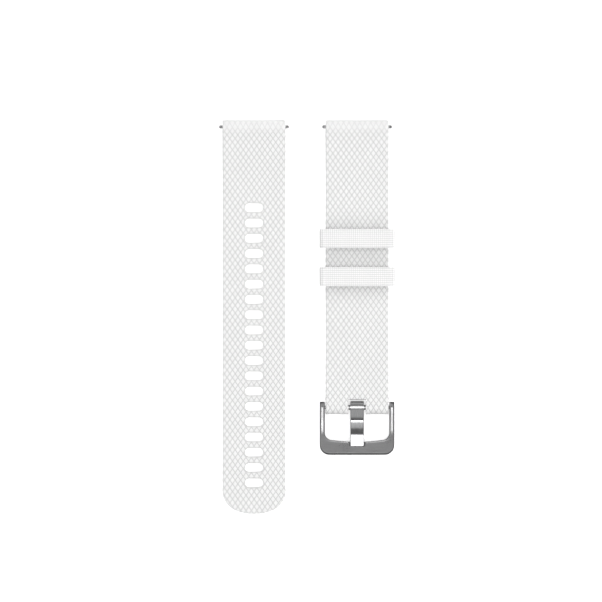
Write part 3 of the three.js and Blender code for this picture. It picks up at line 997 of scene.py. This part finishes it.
@dataclass
class StrapHalf:
    """What both halves of the strap share: two bonded plies round a lug bar.

    Attributes:
        side: The prefix of the half's CAD nodes.
    """

    side: str
    width: float = 20 * MM
    ply: float = 1.15 * MM
    ply_offset: float = 0.645 * MM
    loop_inner: float = 1.1 * MM
    plies_meet: float = 5.5 * MM
    return_length: float = 14 * MM
    butt_gap: float = 0.3 * MM
    leave_deg: float = 110
    serration: float = 0.22 * MM
    knob_notch: tuple[float, float, float, float] = (2.2 * MM, 6.2 * MM, -2.6 * MM, 1.35 * MM)
    tight_range: tuple[float, ...] = (-1.9 * MM, 0.1 * MM, 6 * MM, 8.5 * MM)

    def __post_init__(self) -> None:
        """Reads the half's place from its CAD nodes."""
        low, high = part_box(f"{self.side}_webbing")
        self.lane = (low.x + high.x) / 2
        low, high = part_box(f"{self.side}_bar_tube")
        self.bar_y, self.bar_z = (low.y + high.y) / 2, (low.z + high.z) / 2

    def place(self, across: Array, along: Array, up: Array) -> Array:
        """Turns places relative to the lug bar's middle into the frame's."""
        return np.stack([self.lane + across, self.bar_y + along, self.bar_z + up], axis=1)

    def loop_line(self) -> Array:
        """The webbing's middle line from the front face, round the bar, to the rear face."""
        radius = self.loop_inner + self.ply / 2
        leave = math.radians(self.leave_deg)
        handle = 1.6 * MM
        touch = (radius * math.cos(leave), radius * math.sin(leave))
        approach = bezier(
            [
                (-self.plies_meet, self.ply_offset),
                (handle - self.plies_meet, self.ply_offset),
                (touch[0] - handle * math.sin(leave), touch[1] + handle * math.cos(leave)),
                touch,
            ]
        )
        turn = arc((0, 0), radius, self.leave_deg, -self.leave_deg, 60)
        depart = (approach * (1, -1))[::-1]
        return np.concatenate([approach, turn[1:-1], depart])

    def straight_rungs(self, start: float, end: float, gap: float = 0.15 * MM) -> Array:
        """Rungs of a straight tape whose selvages are stepped by each turn of the weft."""
        s = np.linspace(start, end, round((end - start) / gap) + 1)
        wave = self.serration * (0.5 + 0.5 * np.cos(2 * math.pi * s / DIAMOND_WEAVE.cell_length)) ** 2
        return np.stack([wave - self.width / 2, self.width / 2 - wave, s], axis=1)

    def notch_outline(self, route: Route) -> Array:
        """The release knob's notch, as an outline on the flat webbing."""
        left, right, back, front = self.knob_notch
        walked = route.distances
        under = (route.points[:, 1] < 0) & (walked > walked.mean())
        along = route.points[under, 0]
        order = np.argsort(along)
        first, last = (
            float(np.interp(limit, along[order], walked[under][order])) for limit in (front, back)
        )
        return rectangle(left, right, first, last)

    def tightness(self, s: Array) -> Array:
        """How tightly the webbing is pulled at each place: most round the lug bar."""
        return np.interp(s, self.tight_range, (0, 1, 1, 0))

    def dress(self, palette: Palette) -> None:
        """Gives the CAD node that stays in view its finish."""
        dress_node(f"{self.side}_bonding_film", palette.film)


def dress_node(node: str, material: bpy.types.Material) -> None:
    """Gives a CAD node that stays as it is its finish."""
    kept = frame["nodes"][node]
    if not kept.material_slots:
        kept.data.materials.append(material)
    for material_slot in kept.material_slots:
        material_slot.material = material
    log.info("%s: kept, with %s", node, material.name)


@dataclass
class LongHalf(StrapHalf):
    """The punched half, which comes down from its lug loop to lie flat."""

    side: str = "long"
    first_hole: float = 25.4 * MM
    hole_pitch: float = 4.81 * MM
    hole_count: int = 19
    hole_length: float = 5.7 * MM
    hole_width: float = 2.7 * MM
    tip_end_radius: float = 15.75 * MM
    tip_corner_radius: float = 6.9 * MM
    settle: tuple[float, float] = (6 * MM, 18 * MM)

    def __post_init__(self) -> None:
        """Reads the tip's place, then everything that both halves share."""
        super().__post_init__()
        self.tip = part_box("long_webbing")[0].y - self.bar_y
        self.drop = self.bar_z - self.ply_offset - self.ply / 2

    def settled(self, line: Array) -> Array:
        """Brings a line down to lie on the surface beyond the loop."""
        start, end = self.settle
        share = ((-line[:, 0] - start) / (end - start)).clip(0, 1)
        return np.stack([line[:, 0], line[:, 1] - self.drop * share**2 * (3 - 2 * share)], axis=1)

    def tip_rungs(self, end: float) -> Array:
        """Rungs from the rounded tip to a straight end."""
        half, corner, radius = self.width / 2, self.tip_corner_radius, self.tip_end_radius
        corner_u = half - corner
        end_s = self.tip + radius
        corner_s = end_s - math.sqrt((radius - corner) ** 2 - corner_u**2)
        meeting = math.degrees(math.atan2(corner_s - end_s, corner_u))
        sides = np.concatenate(
            [
                arc((0, end_s), radius, -87.5, meeting, 14),
                arc((corner_u, corner_s), corner, meeting, 0, 22)[1:],
            ]
        )
        curved = np.stack([-sides[:, 0], sides[:, 0], sides[:, 1]], axis=1)
        return np.concatenate([curved, self.straight_rungs(corner_s, end)[1:]])

    def holes(self, mirrored: bool) -> tuple[Array, float, float]:
        """The row of slots, for the front ply or mirrored for the rear one."""
        centres = -self.first_hole - self.hole_pitch * np.arange(self.hole_count)
        return (-centres if mirrored else centres), self.hole_length, self.hole_width

    def build(self, palette: Palette) -> None:
        """Makes and dresses both plies."""
        top = level_line(self.tip, -self.plies_meet, self.ply_offset)
        under = level_line(-self.plies_meet, -self.return_length, -self.ply_offset)
        line = self.settled(np.concatenate([top[:-1], fine(self.loop_line(), 0.05 * MM), under[1:]]))
        route = Route(line, self.tip)
        webbing = WovenPly(
            "long_front_webbing",
            DIAMOND_WEAVE,
            self.ply,
            self.tip_rungs(route.distances[-1]),
            route,
            self.place,
            cutouts=[self.notch_outline(route)],
            holes=self.holes(mirrored=False),
            tightness=self.tightness,
        ).build()
        finish_piece(webbing, palette.webbing, "long_webbing")
        start = self.return_length + self.butt_gap
        rear = self.settled(level_line(-start, self.tip, -self.ply_offset))
        rear_route = Route(rear, start)
        turned_rungs = self.tip_rungs(-start) * (1, 1, -1)
        lining = WovenPly(
            "long_rear_lining",
            DIAMOND_WEAVE,
            self.ply,
            turned_rungs[::-1],
            rear_route,
            lambda across, along, up: self.place(-across, along, up),
            holes=self.holes(mirrored=True),
        ).build()
        finish_piece(lining, palette.webbing, "long_lining")
        self.dress(palette)


@dataclass
class ShortHalf(StrapHalf):
    """The buckle half, looped round a bar at each end and slotted for the tongue."""

    side: str = "short"
    slot_width: float = 5.5 * MM
    slot_reach: float = 2.55 * MM

    def __post_init__(self) -> None:
        """Reads the buckle bar's place, then everything that both halves share."""
        super().__post_init__()
        low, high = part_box("buckle_bar_tube")
        self.span = self.bar_y - (low.y + high.y) / 2

    def build(self, palette: Palette) -> None:
        """Makes and dresses both plies."""
        offset, back = self.ply_offset, self.return_length
        lug_loop = fine(self.loop_line(), 0.05 * MM)
        buckle_loop = (lug_loop * (-1, 1) + (-self.span, 0))[::-1]
        start = level_line(back - self.span, self.plies_meet - self.span, -offset)
        top = level_line(self.plies_meet - self.span, -self.plies_meet, offset)
        end = level_line(-self.plies_meet, -back, -offset)
        line = np.concatenate([start[:-1], buckle_loop, top[1:-1], lug_loop, end[1:]])
        before = Route(line, 0.0)
        meets = len(start) - 1 + len(buckle_loop) - 1
        route = Route(line, float(line[meets, 0] - before.distances[meets]))
        webbing = WovenPly(
            "short_front_webbing",
            DIAMOND_WEAVE,
            self.ply,
            self.straight_rungs(route.distances[0], route.distances[-1]),
            route,
            self.place,
            cutouts=[self.notch_outline(route), self.slot_outline(route)],
            tightness=self.tightness,
        ).build()
        finish_piece(webbing, palette.webbing, "short_webbing")
        first = back + self.butt_gap
        rear = level_line(-first, first - self.span, -offset)
        lining = WovenPly(
            "short_rear_lining",
            DIAMOND_WEAVE,
            self.ply,
            self.straight_rungs(first, self.span - first),
            Route(rear, first),
            lambda across, along, up: self.place(-across, along, up),
        ).build()
        finish_piece(lining, palette.webbing, "short_lining")
        self.dress(palette)

    def slot_outline(self, route: Route) -> Array:
        """The tongue's slot, as an outline on the flat webbing."""
        limit = self.slot_reach - self.span
        walked = route.distances
        near = walked[route.points[:, 0] < limit]
        half = self.slot_width / 2
        return rectangle(-half, half, near.min(), near.max())


@dataclass
class Keeper:
    """A sliding loop of fine tape, whose ends meet on its underside."""

    node: str
    ply: float = 0.95 * MM
    corner: float = 1.25 * MM
    seam: float = 0.06 * MM

    def build(self, palette: Palette) -> None:
        """Makes and dresses the loop."""
        low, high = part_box(self.node)
        middle_x, middle_y = (low.x + high.x) / 2, (low.y + high.y) / 2
        inset = self.ply / 2
        half, bottom, top = (high.x - low.x) / 2 - inset, low.z + inset, high.z - inset
        radius = self.corner - inset
        corners = [
            arc((radius - half, bottom + radius), radius, 270, 180),
            arc((radius - half, top - radius), radius, 180, 90),
            arc((half - radius, top - radius), radius, 90, 0),
            arc((half - radius, bottom + radius), radius, 0, -90),
        ]
        ends = [np.array([(-self.seam / 2, bottom)]), np.array([(self.seam / 2, bottom)])]
        line = fine(np.concatenate([ends[0], *corners, ends[1]]), 0.05 * MM)
        route = Route(line, 0.0)
        length = route.distances[-1]
        s = np.linspace(0, length, round(length / (0.3 * MM)) + 1)
        wave = 0.03 * MM * (0.5 - 0.5 * np.cos(2 * math.pi * s / TAPE_WEAVE.cell_length))
        reach = (high.y - low.y) / 2
        made = WovenPly(
            f"{self.node}_tape",
            TAPE_WEAVE,
            self.ply,
            np.stack([wave - reach, reach - wave, s], axis=1),
            route,
            lambda across, along, up: np.stack([middle_x + along, middle_y - across, up], axis=1),
            edge_radius=0.3 * MM,
        ).build()
        finish_piece(made, palette.tape, self.node)


# ---------------------------------------------------------------- steelwork


@dataclass
class SpringBar:
    """A tube with a tip at each end. A quick-release bar also has a knob on its sprung tip.

    Attributes:
        prefix: The prefix of the bar's CAD nodes.
        tips: Each tip's CAD node, with the side that it points to.
        quick_release: True where the bar has a knob.
    """

    prefix: str
    tips: dict[str, int]
    quick_release: bool
    wall: float = 0.12 * MM
    crimp: float = 0.35 * MM
    mouth: float = 0.55 * MM
    pin: float = 0.5 * MM
    post: float = 0.28 * MM
    travel: float = 1.2 * MM
    buckle_travel: float = 1 * MM
    wire: float = 0.09 * MM
    turns: int = 10

    def __post_init__(self) -> None:
        """Reads the bar's place from its tube."""
        self.low, self.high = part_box(f"{self.prefix}_tube")
        self.centre = (self.low + self.high) / 2
        self.reach = (self.high.x - self.low.x) / 2
        self.radius = (self.high.z - self.low.z) / 2

    def build(self, palette: Palette) -> None:
        """Makes and dresses every piece."""
        finish_piece(self.tube(), palette.turned, f"{self.prefix}_tube")
        for node, side in self.tips.items():
            finish_piece(self.tip(node, side), palette.turned, node)
        if self.quick_release:
            node = f"{self.prefix}_release_knob"
            finish_piece(self.knob(node), palette.turned, node)
        self.fit_springs(palette)

    def fit_springs(self, palette: Palette) -> None:
        """Fits the coil that pushes on each sprung tip."""
        node = f"{self.prefix}_spring"
        low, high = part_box(node)
        if self.quick_release:
            joint = f"{self.prefix.removesuffix('_bar')}_release_slide"
            coils = [(joint, low.x, high.x, self.travel, self.turns)]
        else:
            middle = self.centre.x
            coils = [
                ("left_plunger_slide", middle, low.x, self.buckle_travel, self.turns // 2),
                ("right_plunger_slide", middle, high.x, self.buckle_travel, self.turns // 2),
            ]
        for joint, start, end, travel, turns in coils:
            made = self.coil(f"{joint}_coil", start, end, turns)
            finish_piece(made, palette.spring, node)
            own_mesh(made)

    def coil(self, name: str, start: float, end: float, turns: int) -> bpy.types.Object:
        """A coil from start to end along X, wound closer over its first and last turns."""
        low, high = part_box(f"{self.prefix}_spring")
        radius = (high.z - low.z) / 2 - self.wire
        turn = np.linspace(0, turns, 16 * turns + 1)
        inside, close = abs(end - start) - 2 * self.wire, 2.6 * self.wire
        along = self.wire + np.interp(turn, [0, 1, turns - 1, turns], [0, close, inside - close, inside])
        around = 2 * np.pi * turn
        radial = np.stack([np.zeros_like(around), np.cos(around), np.sin(around)], axis=1)
        forward = np.array([math.copysign(1, end - start), 0, 0])
        spine = np.array((start, self.centre.y, self.centre.z)) + radius * radial + along[:, None] * forward
        ring = np.linspace(0, 2 * np.pi, 10, endpoint=False)[None, :, None]
        sections = spine[:, None] + self.wire * (np.cos(ring) * radial[:, None] + np.sin(ring) * forward)
        made = loft(name, sections)
        smooth(made, 60)
        return made

    def tube(self) -> bpy.types.Object:
        """The tube, crimped in at both ends and slotted for a knob's post."""
        inner = self.reach - self.crimp
        cavity = self.radius - self.wall
        profile = [
            (-self.reach, self.mouth),
            *fillet(-self.reach, self.radius, 1, 1, 0.16 * MM),
            *fillet(self.reach, self.radius, -1, -1, 0.16 * MM),
            (self.reach, self.mouth),
            (inner, self.mouth),
            (inner, cavity),
            (-inner, cavity),
            (-inner, self.mouth),
            (-self.reach, self.mouth),
        ]
        made = turned(f"{self.prefix}_drawn_tube", profile, self.centre, Vector((1, 0, 0)))
        if self.quick_release:
            low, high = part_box(f"{self.prefix}_release_knob")
            x, y = (low.x + high.x) / 2, (low.y + high.y) / 2
            half = self.post + 0.1 * MM
            middle = x - self.travel / 2
            outline = slot_outline(middle, y, self.travel + 2 * half, 2 * half)
            cutter = prisms("post_slot", [outline], self.centre.z - 2 * self.radius, self.centre.z)
            carve(made, cutter, Cut.REMOVE)
            smooth(made, 30)
        return made

    def tip(self, node: str, side: int) -> bpy.types.Object:
        """A tip with its head inside the tube, a turned neck and a domed end."""
        low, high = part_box(node)
        near, far = (low.x, high.x) if side > 0 else (high.x, low.x)
        inner, outer = abs(near - self.centre.x), abs(far - self.centre.x)
        head = (high.z - low.z) / 2
        shoulder = self.reach - self.crimp - 0.05 * MM
        groove = self.reach + 0.12 * MM
        profile = [
            (inner, 0.0),
            *fillet(inner, head, 1, 1, 0.08 * MM),
            *fillet(shoulder, head, -1, -1, 0.08 * MM),
            (shoulder, self.pin),
            (groove, self.pin),
            (groove + 0.05 * MM, self.pin - 0.05 * MM),
            (groove + 0.15 * MM, self.pin - 0.05 * MM),
            (groove + 0.2 * MM, self.pin),
            *fillet(outer, self.pin, -1, -1, 0.2 * MM),
            (outer, 0.0),
        ]
        return turned(f"{node}_turned", profile, self.centre, Vector((side, 0, 0)))

    def knob(self, node: str) -> bpy.types.Object:
        """The release knob: a post with a flanged, round-edged head."""
        low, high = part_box(node)
        top, bottom = high.z, low.z
        radius = (high.x - low.x) / 2
        head = bottom + 1.0 * MM
        profile = [
            (bottom, 0.0),
            (bottom, radius * 0.45),
            (bottom + 0.03 * MM, radius - 0.16 * MM),
            (bottom + 0.12 * MM, radius - 0.05 * MM),
            (bottom + 0.25 * MM, radius),
            (bottom + 0.45 * MM, radius),
            (bottom + 0.55 * MM, radius - 0.08 * MM),
            (bottom + 0.75 * MM, radius - 0.08 * MM),
            (bottom + 0.85 * MM, radius),
            (head - 0.05 * MM, radius),
            (head, radius - 0.05 * MM),
            (head, self.post),
            (top, self.post),
            (top, 0.0),
        ]
        centre = Vector(((low.x + high.x) / 2, (low.y + high.y) / 2, 0))
        return turned(f"{node}_turned", profile, centre, Vector((0, 0, 1)))


@dataclass
class Buckle:
    """The frame, which swings on the buckle bar, and the tongue curled round that bar."""

    arm: float = 1.55 * MM
    eye: float = 1.75 * MM
    corner: float = 3 * MM
    window_corner: float = 2.3 * MM
    window_reach: float = 10.9 * MM
    window_bow: float = 0.6 * MM
    edge: float = 0.5 * MM
    rim_edge: float = 0.28 * MM
    outer_edge: float = 0.42 * MM
    bevel_width: float = 0.55 * MM
    outer_drop: float = 1 * MM
    bend: tuple[tuple[float, float], ...] = (
        (-6.4 * MM, -0.2 * MM),
        (-7.5 * MM, -0.2 * MM),
        (-8.6 * MM, -0.41 * MM),
    )
    lip: float = 0.15 * MM
    notch_width: float = 5.1 * MM
    notch_reach: float = 12.35 * MM
    notch_floor: float = 0.2 * MM
    bore: float = 0.56 * MM
    bore_depth: float = 1.1 * MM
    tongue_ply: float = 0.95 * MM
    tongue_loop: float = 1 * MM
    tongue_rest: float = 0.72 * MM
    tongue_valley: float = 0.25 * MM
    leave_deg: float = 108
    curl_deg: float = -152
    swell: float = 0.26 * MM
    square: float = 3.2
    crease: float = 0.015 * MM

    def __post_init__(self) -> None:
        """Reads the bar's place, and the outer sizes of the frame and the tongue."""
        low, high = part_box("buckle_bar_tube")
        self.axis = (low + high) / 2
        low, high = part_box("buckle_frame")
        self.half = (high.x - low.x) / 2
        self.reach = self.axis.y - low.y
        self.floor = low.z - self.axis.z
        low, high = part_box("buckle_tongue")
        self.tongue_half = (high.x - low.x) / 2
        self.tongue_reach = self.axis.y - low.y

    def build(self, palette: Palette) -> None:
        """Makes and dresses the frame and the tongue."""
        finish_piece(self.frame(), palette.brushed, "buckle_frame")
        finish_piece(self.tongue(), palette.polished, "buckle_tongue")

    def heights(self, y: Array) -> tuple[Array, Array]:
        """The frame's top and underside at each distance from the bar, both relative to it."""
        straight = -6 * MM
        bend = bezier([(y, z + self.eye) for y, z in self.bend])
        top_line = np.concatenate(
            [[(-self.reach, self.lip), (0.3 * MM - self.reach, self.lip)], bend[::-1], [(0, self.eye)]]
        )
        under_line = np.concatenate(
            [
                [(-self.reach, self.floor)],
                bezier(
                    [
                        (1 * MM - self.reach, self.floor),
                        (4 * MM - self.reach, 0.1 * MM - self.eye),
                        (straight, 0.1 * MM - self.eye),
                    ]
                ),
                [(0, -self.eye)],
            ]
        )
        round_eye = np.sqrt((self.eye**2 - y.clip(0) ** 2).clip(0))
        top = np.where(y > 0, round_eye, np.interp(y, *top_line.T))
        under = np.where(y > 0, -round_eye, np.interp(y, *under_line.T))
        return top, under

    def outlines(self) -> tuple[Array, Array]:
        """Matching points on the frame's outer and inner outlines, from the left eye to the rim's middle."""
        inner_x = self.half - self.arm
        shoulder = self.window_bow - self.window_reach
        eye_y = self.eye * np.cos(np.radians(np.linspace(7, 90, 14)))
        arm_y = np.linspace(0, shoulder + self.window_corner, 18)[1:]
        y = np.concatenate([eye_y, arm_y])
        outer_arm = np.stack([np.full_like(y, -self.half), y], axis=1)
        inner_arm = np.stack([np.full_like(y, -inner_x), y], axis=1)
        steps = 26
        down = np.array([(-self.half, y[-1]), (-self.half, self.corner - self.reach)])
        outer_turn = np.concatenate(
            [down, arc((self.corner - self.half, self.corner - self.reach), self.corner, 180, 270)[1:]]
        )
        window = (self.window_corner - inner_x, shoulder + self.window_corner)
        inner_turn = arc(window, self.window_corner, 180, 270)
        outer_turn, inner_turn = (self.resampled(line, steps) for line in (outer_turn, inner_turn))
        outer_rim = self.resampled(np.array([(self.corner - self.half, -self.reach), (0, -self.reach)]), 22)
        across = inner_x - self.window_corner
        inner_rim = bezier([(-across, shoulder), (0, shoulder - 2 * self.window_bow), (across, shoulder)])
        inner_rim = self.resampled(inner_rim[inner_rim[:, 0] <= 1e-9], 22)
        inner_rim[-1, 0] = 0
        outer = np.concatenate([outer_arm, outer_turn[1:], outer_rim[1:]])
        inner = np.concatenate([inner_arm, inner_turn[1:], inner_rim[1:]])
        return outer, inner

    @staticmethod
    def resampled(line: Array, count: int) -> Array:
        """The same line with evenly spaced points."""
        walked = np.concatenate([[0.0], np.cumsum(np.linalg.norm(np.diff(line, axis=0), axis=1))])
        steps = np.linspace(0, walked[-1], count)
        return np.stack([np.interp(steps, walked, line[:, k]) for k in range(2)], axis=1)

    def section(self, outer: Array, inner: Array) -> Array:
        """One closed section of the frame between two outline points, with its corners rounded."""
        width = float(np.linalg.norm(inner - outer))
        share = np.linspace(0, 1, 9)
        middle_y = (outer[1] + inner[1]) / 2
        top, under = self.heights(np.array([middle_y]))
        on_arm = float(np.interp(outer[1] + self.reach, (0, 4 * MM), (0, 1)))
        deepest = 0.48 * float(top[0] - under[0])
        last = min(self.rim_edge + (self.edge - self.rim_edge) * on_arm, deepest, 0.48 * width)
        first = min(self.bevel_width + (self.outer_edge - self.bevel_width) * on_arm, 0.48 * width)
        first_drop = min(self.outer_drop, deepest)
        corner = np.radians(np.linspace(0, 90, 7))
        rise, drop = 1 - np.cos(corner), 1 - np.sin(corner)
        middle = first + (width - first - last) * share[1:-1]
        distance = np.concatenate([first * rise, middle, width - last * rise[::-1]])
        bevelled = on_arm * drop + (1 - on_arm) * np.cos(corner) ** 1.5
        fall = np.concatenate([first_drop * bevelled, np.zeros(len(middle)), last * drop[::-1]])
        ground = outer + (inner - outer) * (distance / width)[:, None]
        top, under = self.heights(ground[:, 1])
        upper = np.column_stack([ground, top - fall])
        lower = np.column_stack([ground, under + fall])[::-1]
        return np.concatenate([upper, lower])

    def frame(self) -> bpy.types.Object:
        """The frame, lofted round its U, notched for the tongue and bored for the bar's tips."""
        outer, inner = self.outlines()
        left = [self.section(o, i) for o, i in zip(outer, inner)]
        mirror = np.array([-1, 1, 1])
        right = [section * mirror for section in reversed(left[:-1])]
        sections = np.array([*left, *right]) + np.array(self.axis)
        made = loft("buckle_frame_forged", sections)
        x, y, z = self.axis
        half = self.notch_width / 2
        outline = rectangle(x - half, x + half, y - self.notch_reach, y)
        notch = prisms("notch", [outline], z + self.notch_floor, z + 4 * MM)
        carve(made, notch, Cut.REMOVE, Solver.EXACT)
        depth = self.half - self.arm + self.bore_depth
        profile = [(-depth, 0), (-depth, self.bore), (depth, self.bore), (depth, 0)]
        bore = turned("bore", profile, self.axis, Vector((1, 0, 0)))
        carve(made, bore, Cut.REMOVE, Solver.EXACT)
        smooth(made, 35)
        self.soften(made, 0.05 * MM)
        return made

    @staticmethod
    def soften(made: bpy.types.Object, width: float) -> None:
        """Breaks the sharp edges that cutting left."""
        modifier = made.modifiers.new("broken edges", "BEVEL")
        modifier.width = width
        modifier.segments = 2
        modifier.limit_method = "ANGLE"
        modifier.angle_limit = math.radians(50)
        graph = bpy.context.evaluated_depsgraph_get()
        softened = bpy.data.meshes.new_from_object(made.evaluated_get(graph))
        made.modifiers.clear()
        made.data = softened
        smooth(made, 40)

    def tongue_line(self) -> Array:
        """The tongue's middle line, (along, up) from the bar."""
        radius = self.tongue_loop + self.tongue_ply / 2
        curl = arc((0, 0), radius, self.curl_deg, self.leave_deg, 90)
        squared = (curl > 0).all(axis=1)
        unit = curl[squared] / radius
        curl[squared] /= ((unit**self.square).sum(axis=1) ** (1 / self.square))[:, None]
        leave = math.radians(self.leave_deg)
        start = tuple(curl[-1])
        valley, rest = (-4.5 * MM, self.tongue_valley), (-8.6 * MM, self.tongue_rest)
        dip = bezier(
            [
                start,
                (start[0] - 1.2 * MM * math.sin(leave), start[1] + 1.2 * MM * math.cos(leave)),
                (valley[0] + 1.5 * MM, valley[1]),
                valley,
            ]
        )
        leave_valley = (valley[0] - 2.1 * MM, valley[1] + 0.04 * MM)
        rise = bezier([valley, leave_valley, (rest[0] + 0.3 * MM, rest[1]), rest])
        flat = np.array([rest, (-self.tongue_reach, self.tongue_rest)])
        return fine(np.concatenate([curl, dip[1:], rise[1:], flat[1:]]), 0.15 * MM)

    def tongue(self) -> bpy.types.Object:
        """The tongue: a strip of sheet with eased edges, a little wider where it is curled over the bar."""
        line = self.tongue_line()
        route = Route(line, 0.0)
        s = route.distances
        crest = s[np.argmax(line[:, 1])] - 0.25 * MM
        swell = self.swell * np.exp(-(((s - crest) / (0.45 * MM)) ** 4))
        groove = self.crease * np.exp(-(((s[-1] - 1.35 * MM - s) / (0.12 * MM)) ** 2))
        ease = 0.2 * MM
        corner = np.radians(np.linspace(0, 90, 5))
        left = s[-1] - s
        sections = []
        for distance, wide, sunk, remaining in zip(s, swell, groove, left):
            shrink = ease - math.sqrt(max(0.0, ease**2 - max(0.0, ease - remaining) ** 2))
            half_width = self.tongue_half - 0.02 * MM + wide - shrink
            half_height = self.tongue_ply / 2 - shrink
            side = half_width - ease + ease * np.append(np.cos(corner), -0.15)
            rise = half_height - ease + ease * np.append(np.sin(corner), 1)
            across = np.concatenate([side, -side[::-1]])
            out = np.concatenate([rise, rise[::-1]])
            across, out = np.concatenate([across, across[::-1]]), np.concatenate([out - sunk, -out[::-1]])
            along, up = route.place(np.full_like(out, distance), out)
            sections.append(np.column_stack([across, along, up]))
        made = loft("buckle_tongue_bent", np.array(sections) + np.array(self.axis))
        smooth(made, 40)
        return made


# ---------------------------------------------------------------- studio


@dataclass(frozen=True)
class Softbox:
    """A square light that faces the strap.

    Attributes:
        name: The light's name.
        where: Its place, in metres.
        size: Its side.
        watts: Its power.
        mirrored: True where metal shows its reflection.
    """

    name: str
    where: tuple[float, float, float]
    size: float
    watts: float
    mirrored: bool = False

    def build(self) -> None:
        """Adds the light."""
        data = bpy.data.lights.new(self.name, "AREA")
        data.shape = "SQUARE"
        data.size = self.size
        data.energy = self.watts
        made = bpy.data.objects.new(self.name, data)
        made.location = self.where
        made.rotation_euler = Vector(self.where).to_track_quat("Z", "Y").to_euler()
        made.visible_glossy = self.mirrored
        bpy.context.scene.collection.objects.link(made)


@dataclass
class Studio:
    """The pale floor, the soft lights and the camera above."""

    lights: tuple[Softbox, ...] = (
        Softbox("overhead wash", (0.1, 0.0, 2.0), 2.0, 14.5),
        Softbox("far side wash", (0.1, 1.5, 1.3), 1.0, 6.5),
        Softbox("near side wash", (0.1, -1.5, 1.3), 1.0, 5.0),
        Softbox("key", (1.4, 0.2, 1.0), 0.6, 5.0),
        Softbox("highlight", (0.0, -0.235, 2.0), 0.42, 3.5, mirrored=True),
        Softbox("highlight's edge", (0.0, 0.2, 2.0), 0.45, 0.45, mirrored=True),
    )
    view_width: float = 189.6 * MM
    camera_height: float = 1.58
    sensor: float = 36.0
    middle: tuple[float, float] = (-1.9 * MM, 5.0 * MM)
    horizon: float = 0.13
    walls: float = 0.7
    zenith: float = 0.22

    def build(self) -> None:
        """Sets up the whole studio."""
        bpy.context.scene.view_settings.view_transform = "Standard"
        self.camera()
        self.floor()
        self.world()
        for light in self.lights:
            light.build()

    def camera(self) -> None:
        """A long lens straight above the strap."""
        data = bpy.data.cameras.new("camera")
        data.sensor_width = self.sensor
        data.lens = self.sensor * self.camera_height / self.view_width
        made = bpy.data.objects.new("camera", data)
        made.location = (*self.middle, self.camera_height)
        bpy.context.scene.collection.objects.link(made)
        bpy.context.scene.camera = made

    def floor(self) -> None:
        """A wide, pale, matt sheet under the strap."""
        half, drop = 3.0, -0.02 * MM
        sheet = np.column_stack([rectangle(-half, half, -half, half), np.full(4, drop)])
        made = new_object("studio_floor", sheet, [(0, 1, 2, 3)])
        material, nodes, shader = start_material("Pale Floor", (0.95, 0.95, 0.95))
        place = nodes.add("ShaderNodeTexCoord").outputs["Object"]
        tone = nodes.mix(nodes.noise(place, 3.0, 2.0), (0.93, 0.93, 0.93), (0.95, 0.95, 0.95))
        nodes.join(tone, shader.inputs["Base Color"])
        shader.inputs["Roughness"].default_value = 0.9
        shader.inputs["Specular IOR Level"].default_value = 0.1
        shader.inputs["Emission Color"].default_value = (1, 1, 1, 1)
        shader.inputs["Emission Strength"].default_value = 0.45
        made.data.materials.append(material)
        made.visible_glossy = False

    def world(self) -> None:
        """Grey surroundings: dim straight above and along the horizon, brighter between."""
        world = bpy.data.worlds.new("studio surroundings")
        world.use_nodes = True
        nodes = Nodes(world.node_tree)
        split = nodes.add("ShaderNodeSeparateXYZ")
        nodes.join(nodes.add("ShaderNodeTexCoord").outputs["Generated"], split.inputs[0])
        rising = nodes.between(split.outputs[2], 0.0, 0.45, self.horizon, self.walls)
        shade = world.node_tree.nodes["Background"]
        above = nodes.between(split.outputs[2], 0.78, 0.93, 0.0, 1.0)
        level = nodes.math("ADD", rising, nodes.math("MULTIPLY", above, self.zenith - self.walls))
        shade.inputs["Color"].default_value = (1, 1, 1, 1)
        nodes.join(level, shade.inputs["Strength"])
        bpy.context.scene.world = world


def corners(box: tuple[Vector, Vector]) -> list[list[float]]:
    """A box as plain lists of numbers."""
    return [list(point) for point in box]


def main() -> None:
    """Builds the studio and every part of the strap."""
    logging.basicConfig(level=logging.INFO, format="%(message)s")
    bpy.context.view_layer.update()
    Studio().build()
    palette = Palette()
    LongHalf().build(palette)
    ShortHalf().build(palette)
    for node in ("upper_keeper", "lower_keeper"):
        Keeper(node).build(palette)
    for side in ("long", "short"):
        tips = {f"{side}_bar_fixed_tip": -1, f"{side}_bar_plunger": 1}
        SpringBar(f"{side}_bar", tips, quick_release=True).build(palette)
    tips = {"buckle_bar_left_plunger": -1, "buckle_bar_right_plunger": 1}
    SpringBar("buckle_bar", tips, quick_release=False).build(palette)
    Buckle().build(palette)


if __name__ == "__main__":
    main()
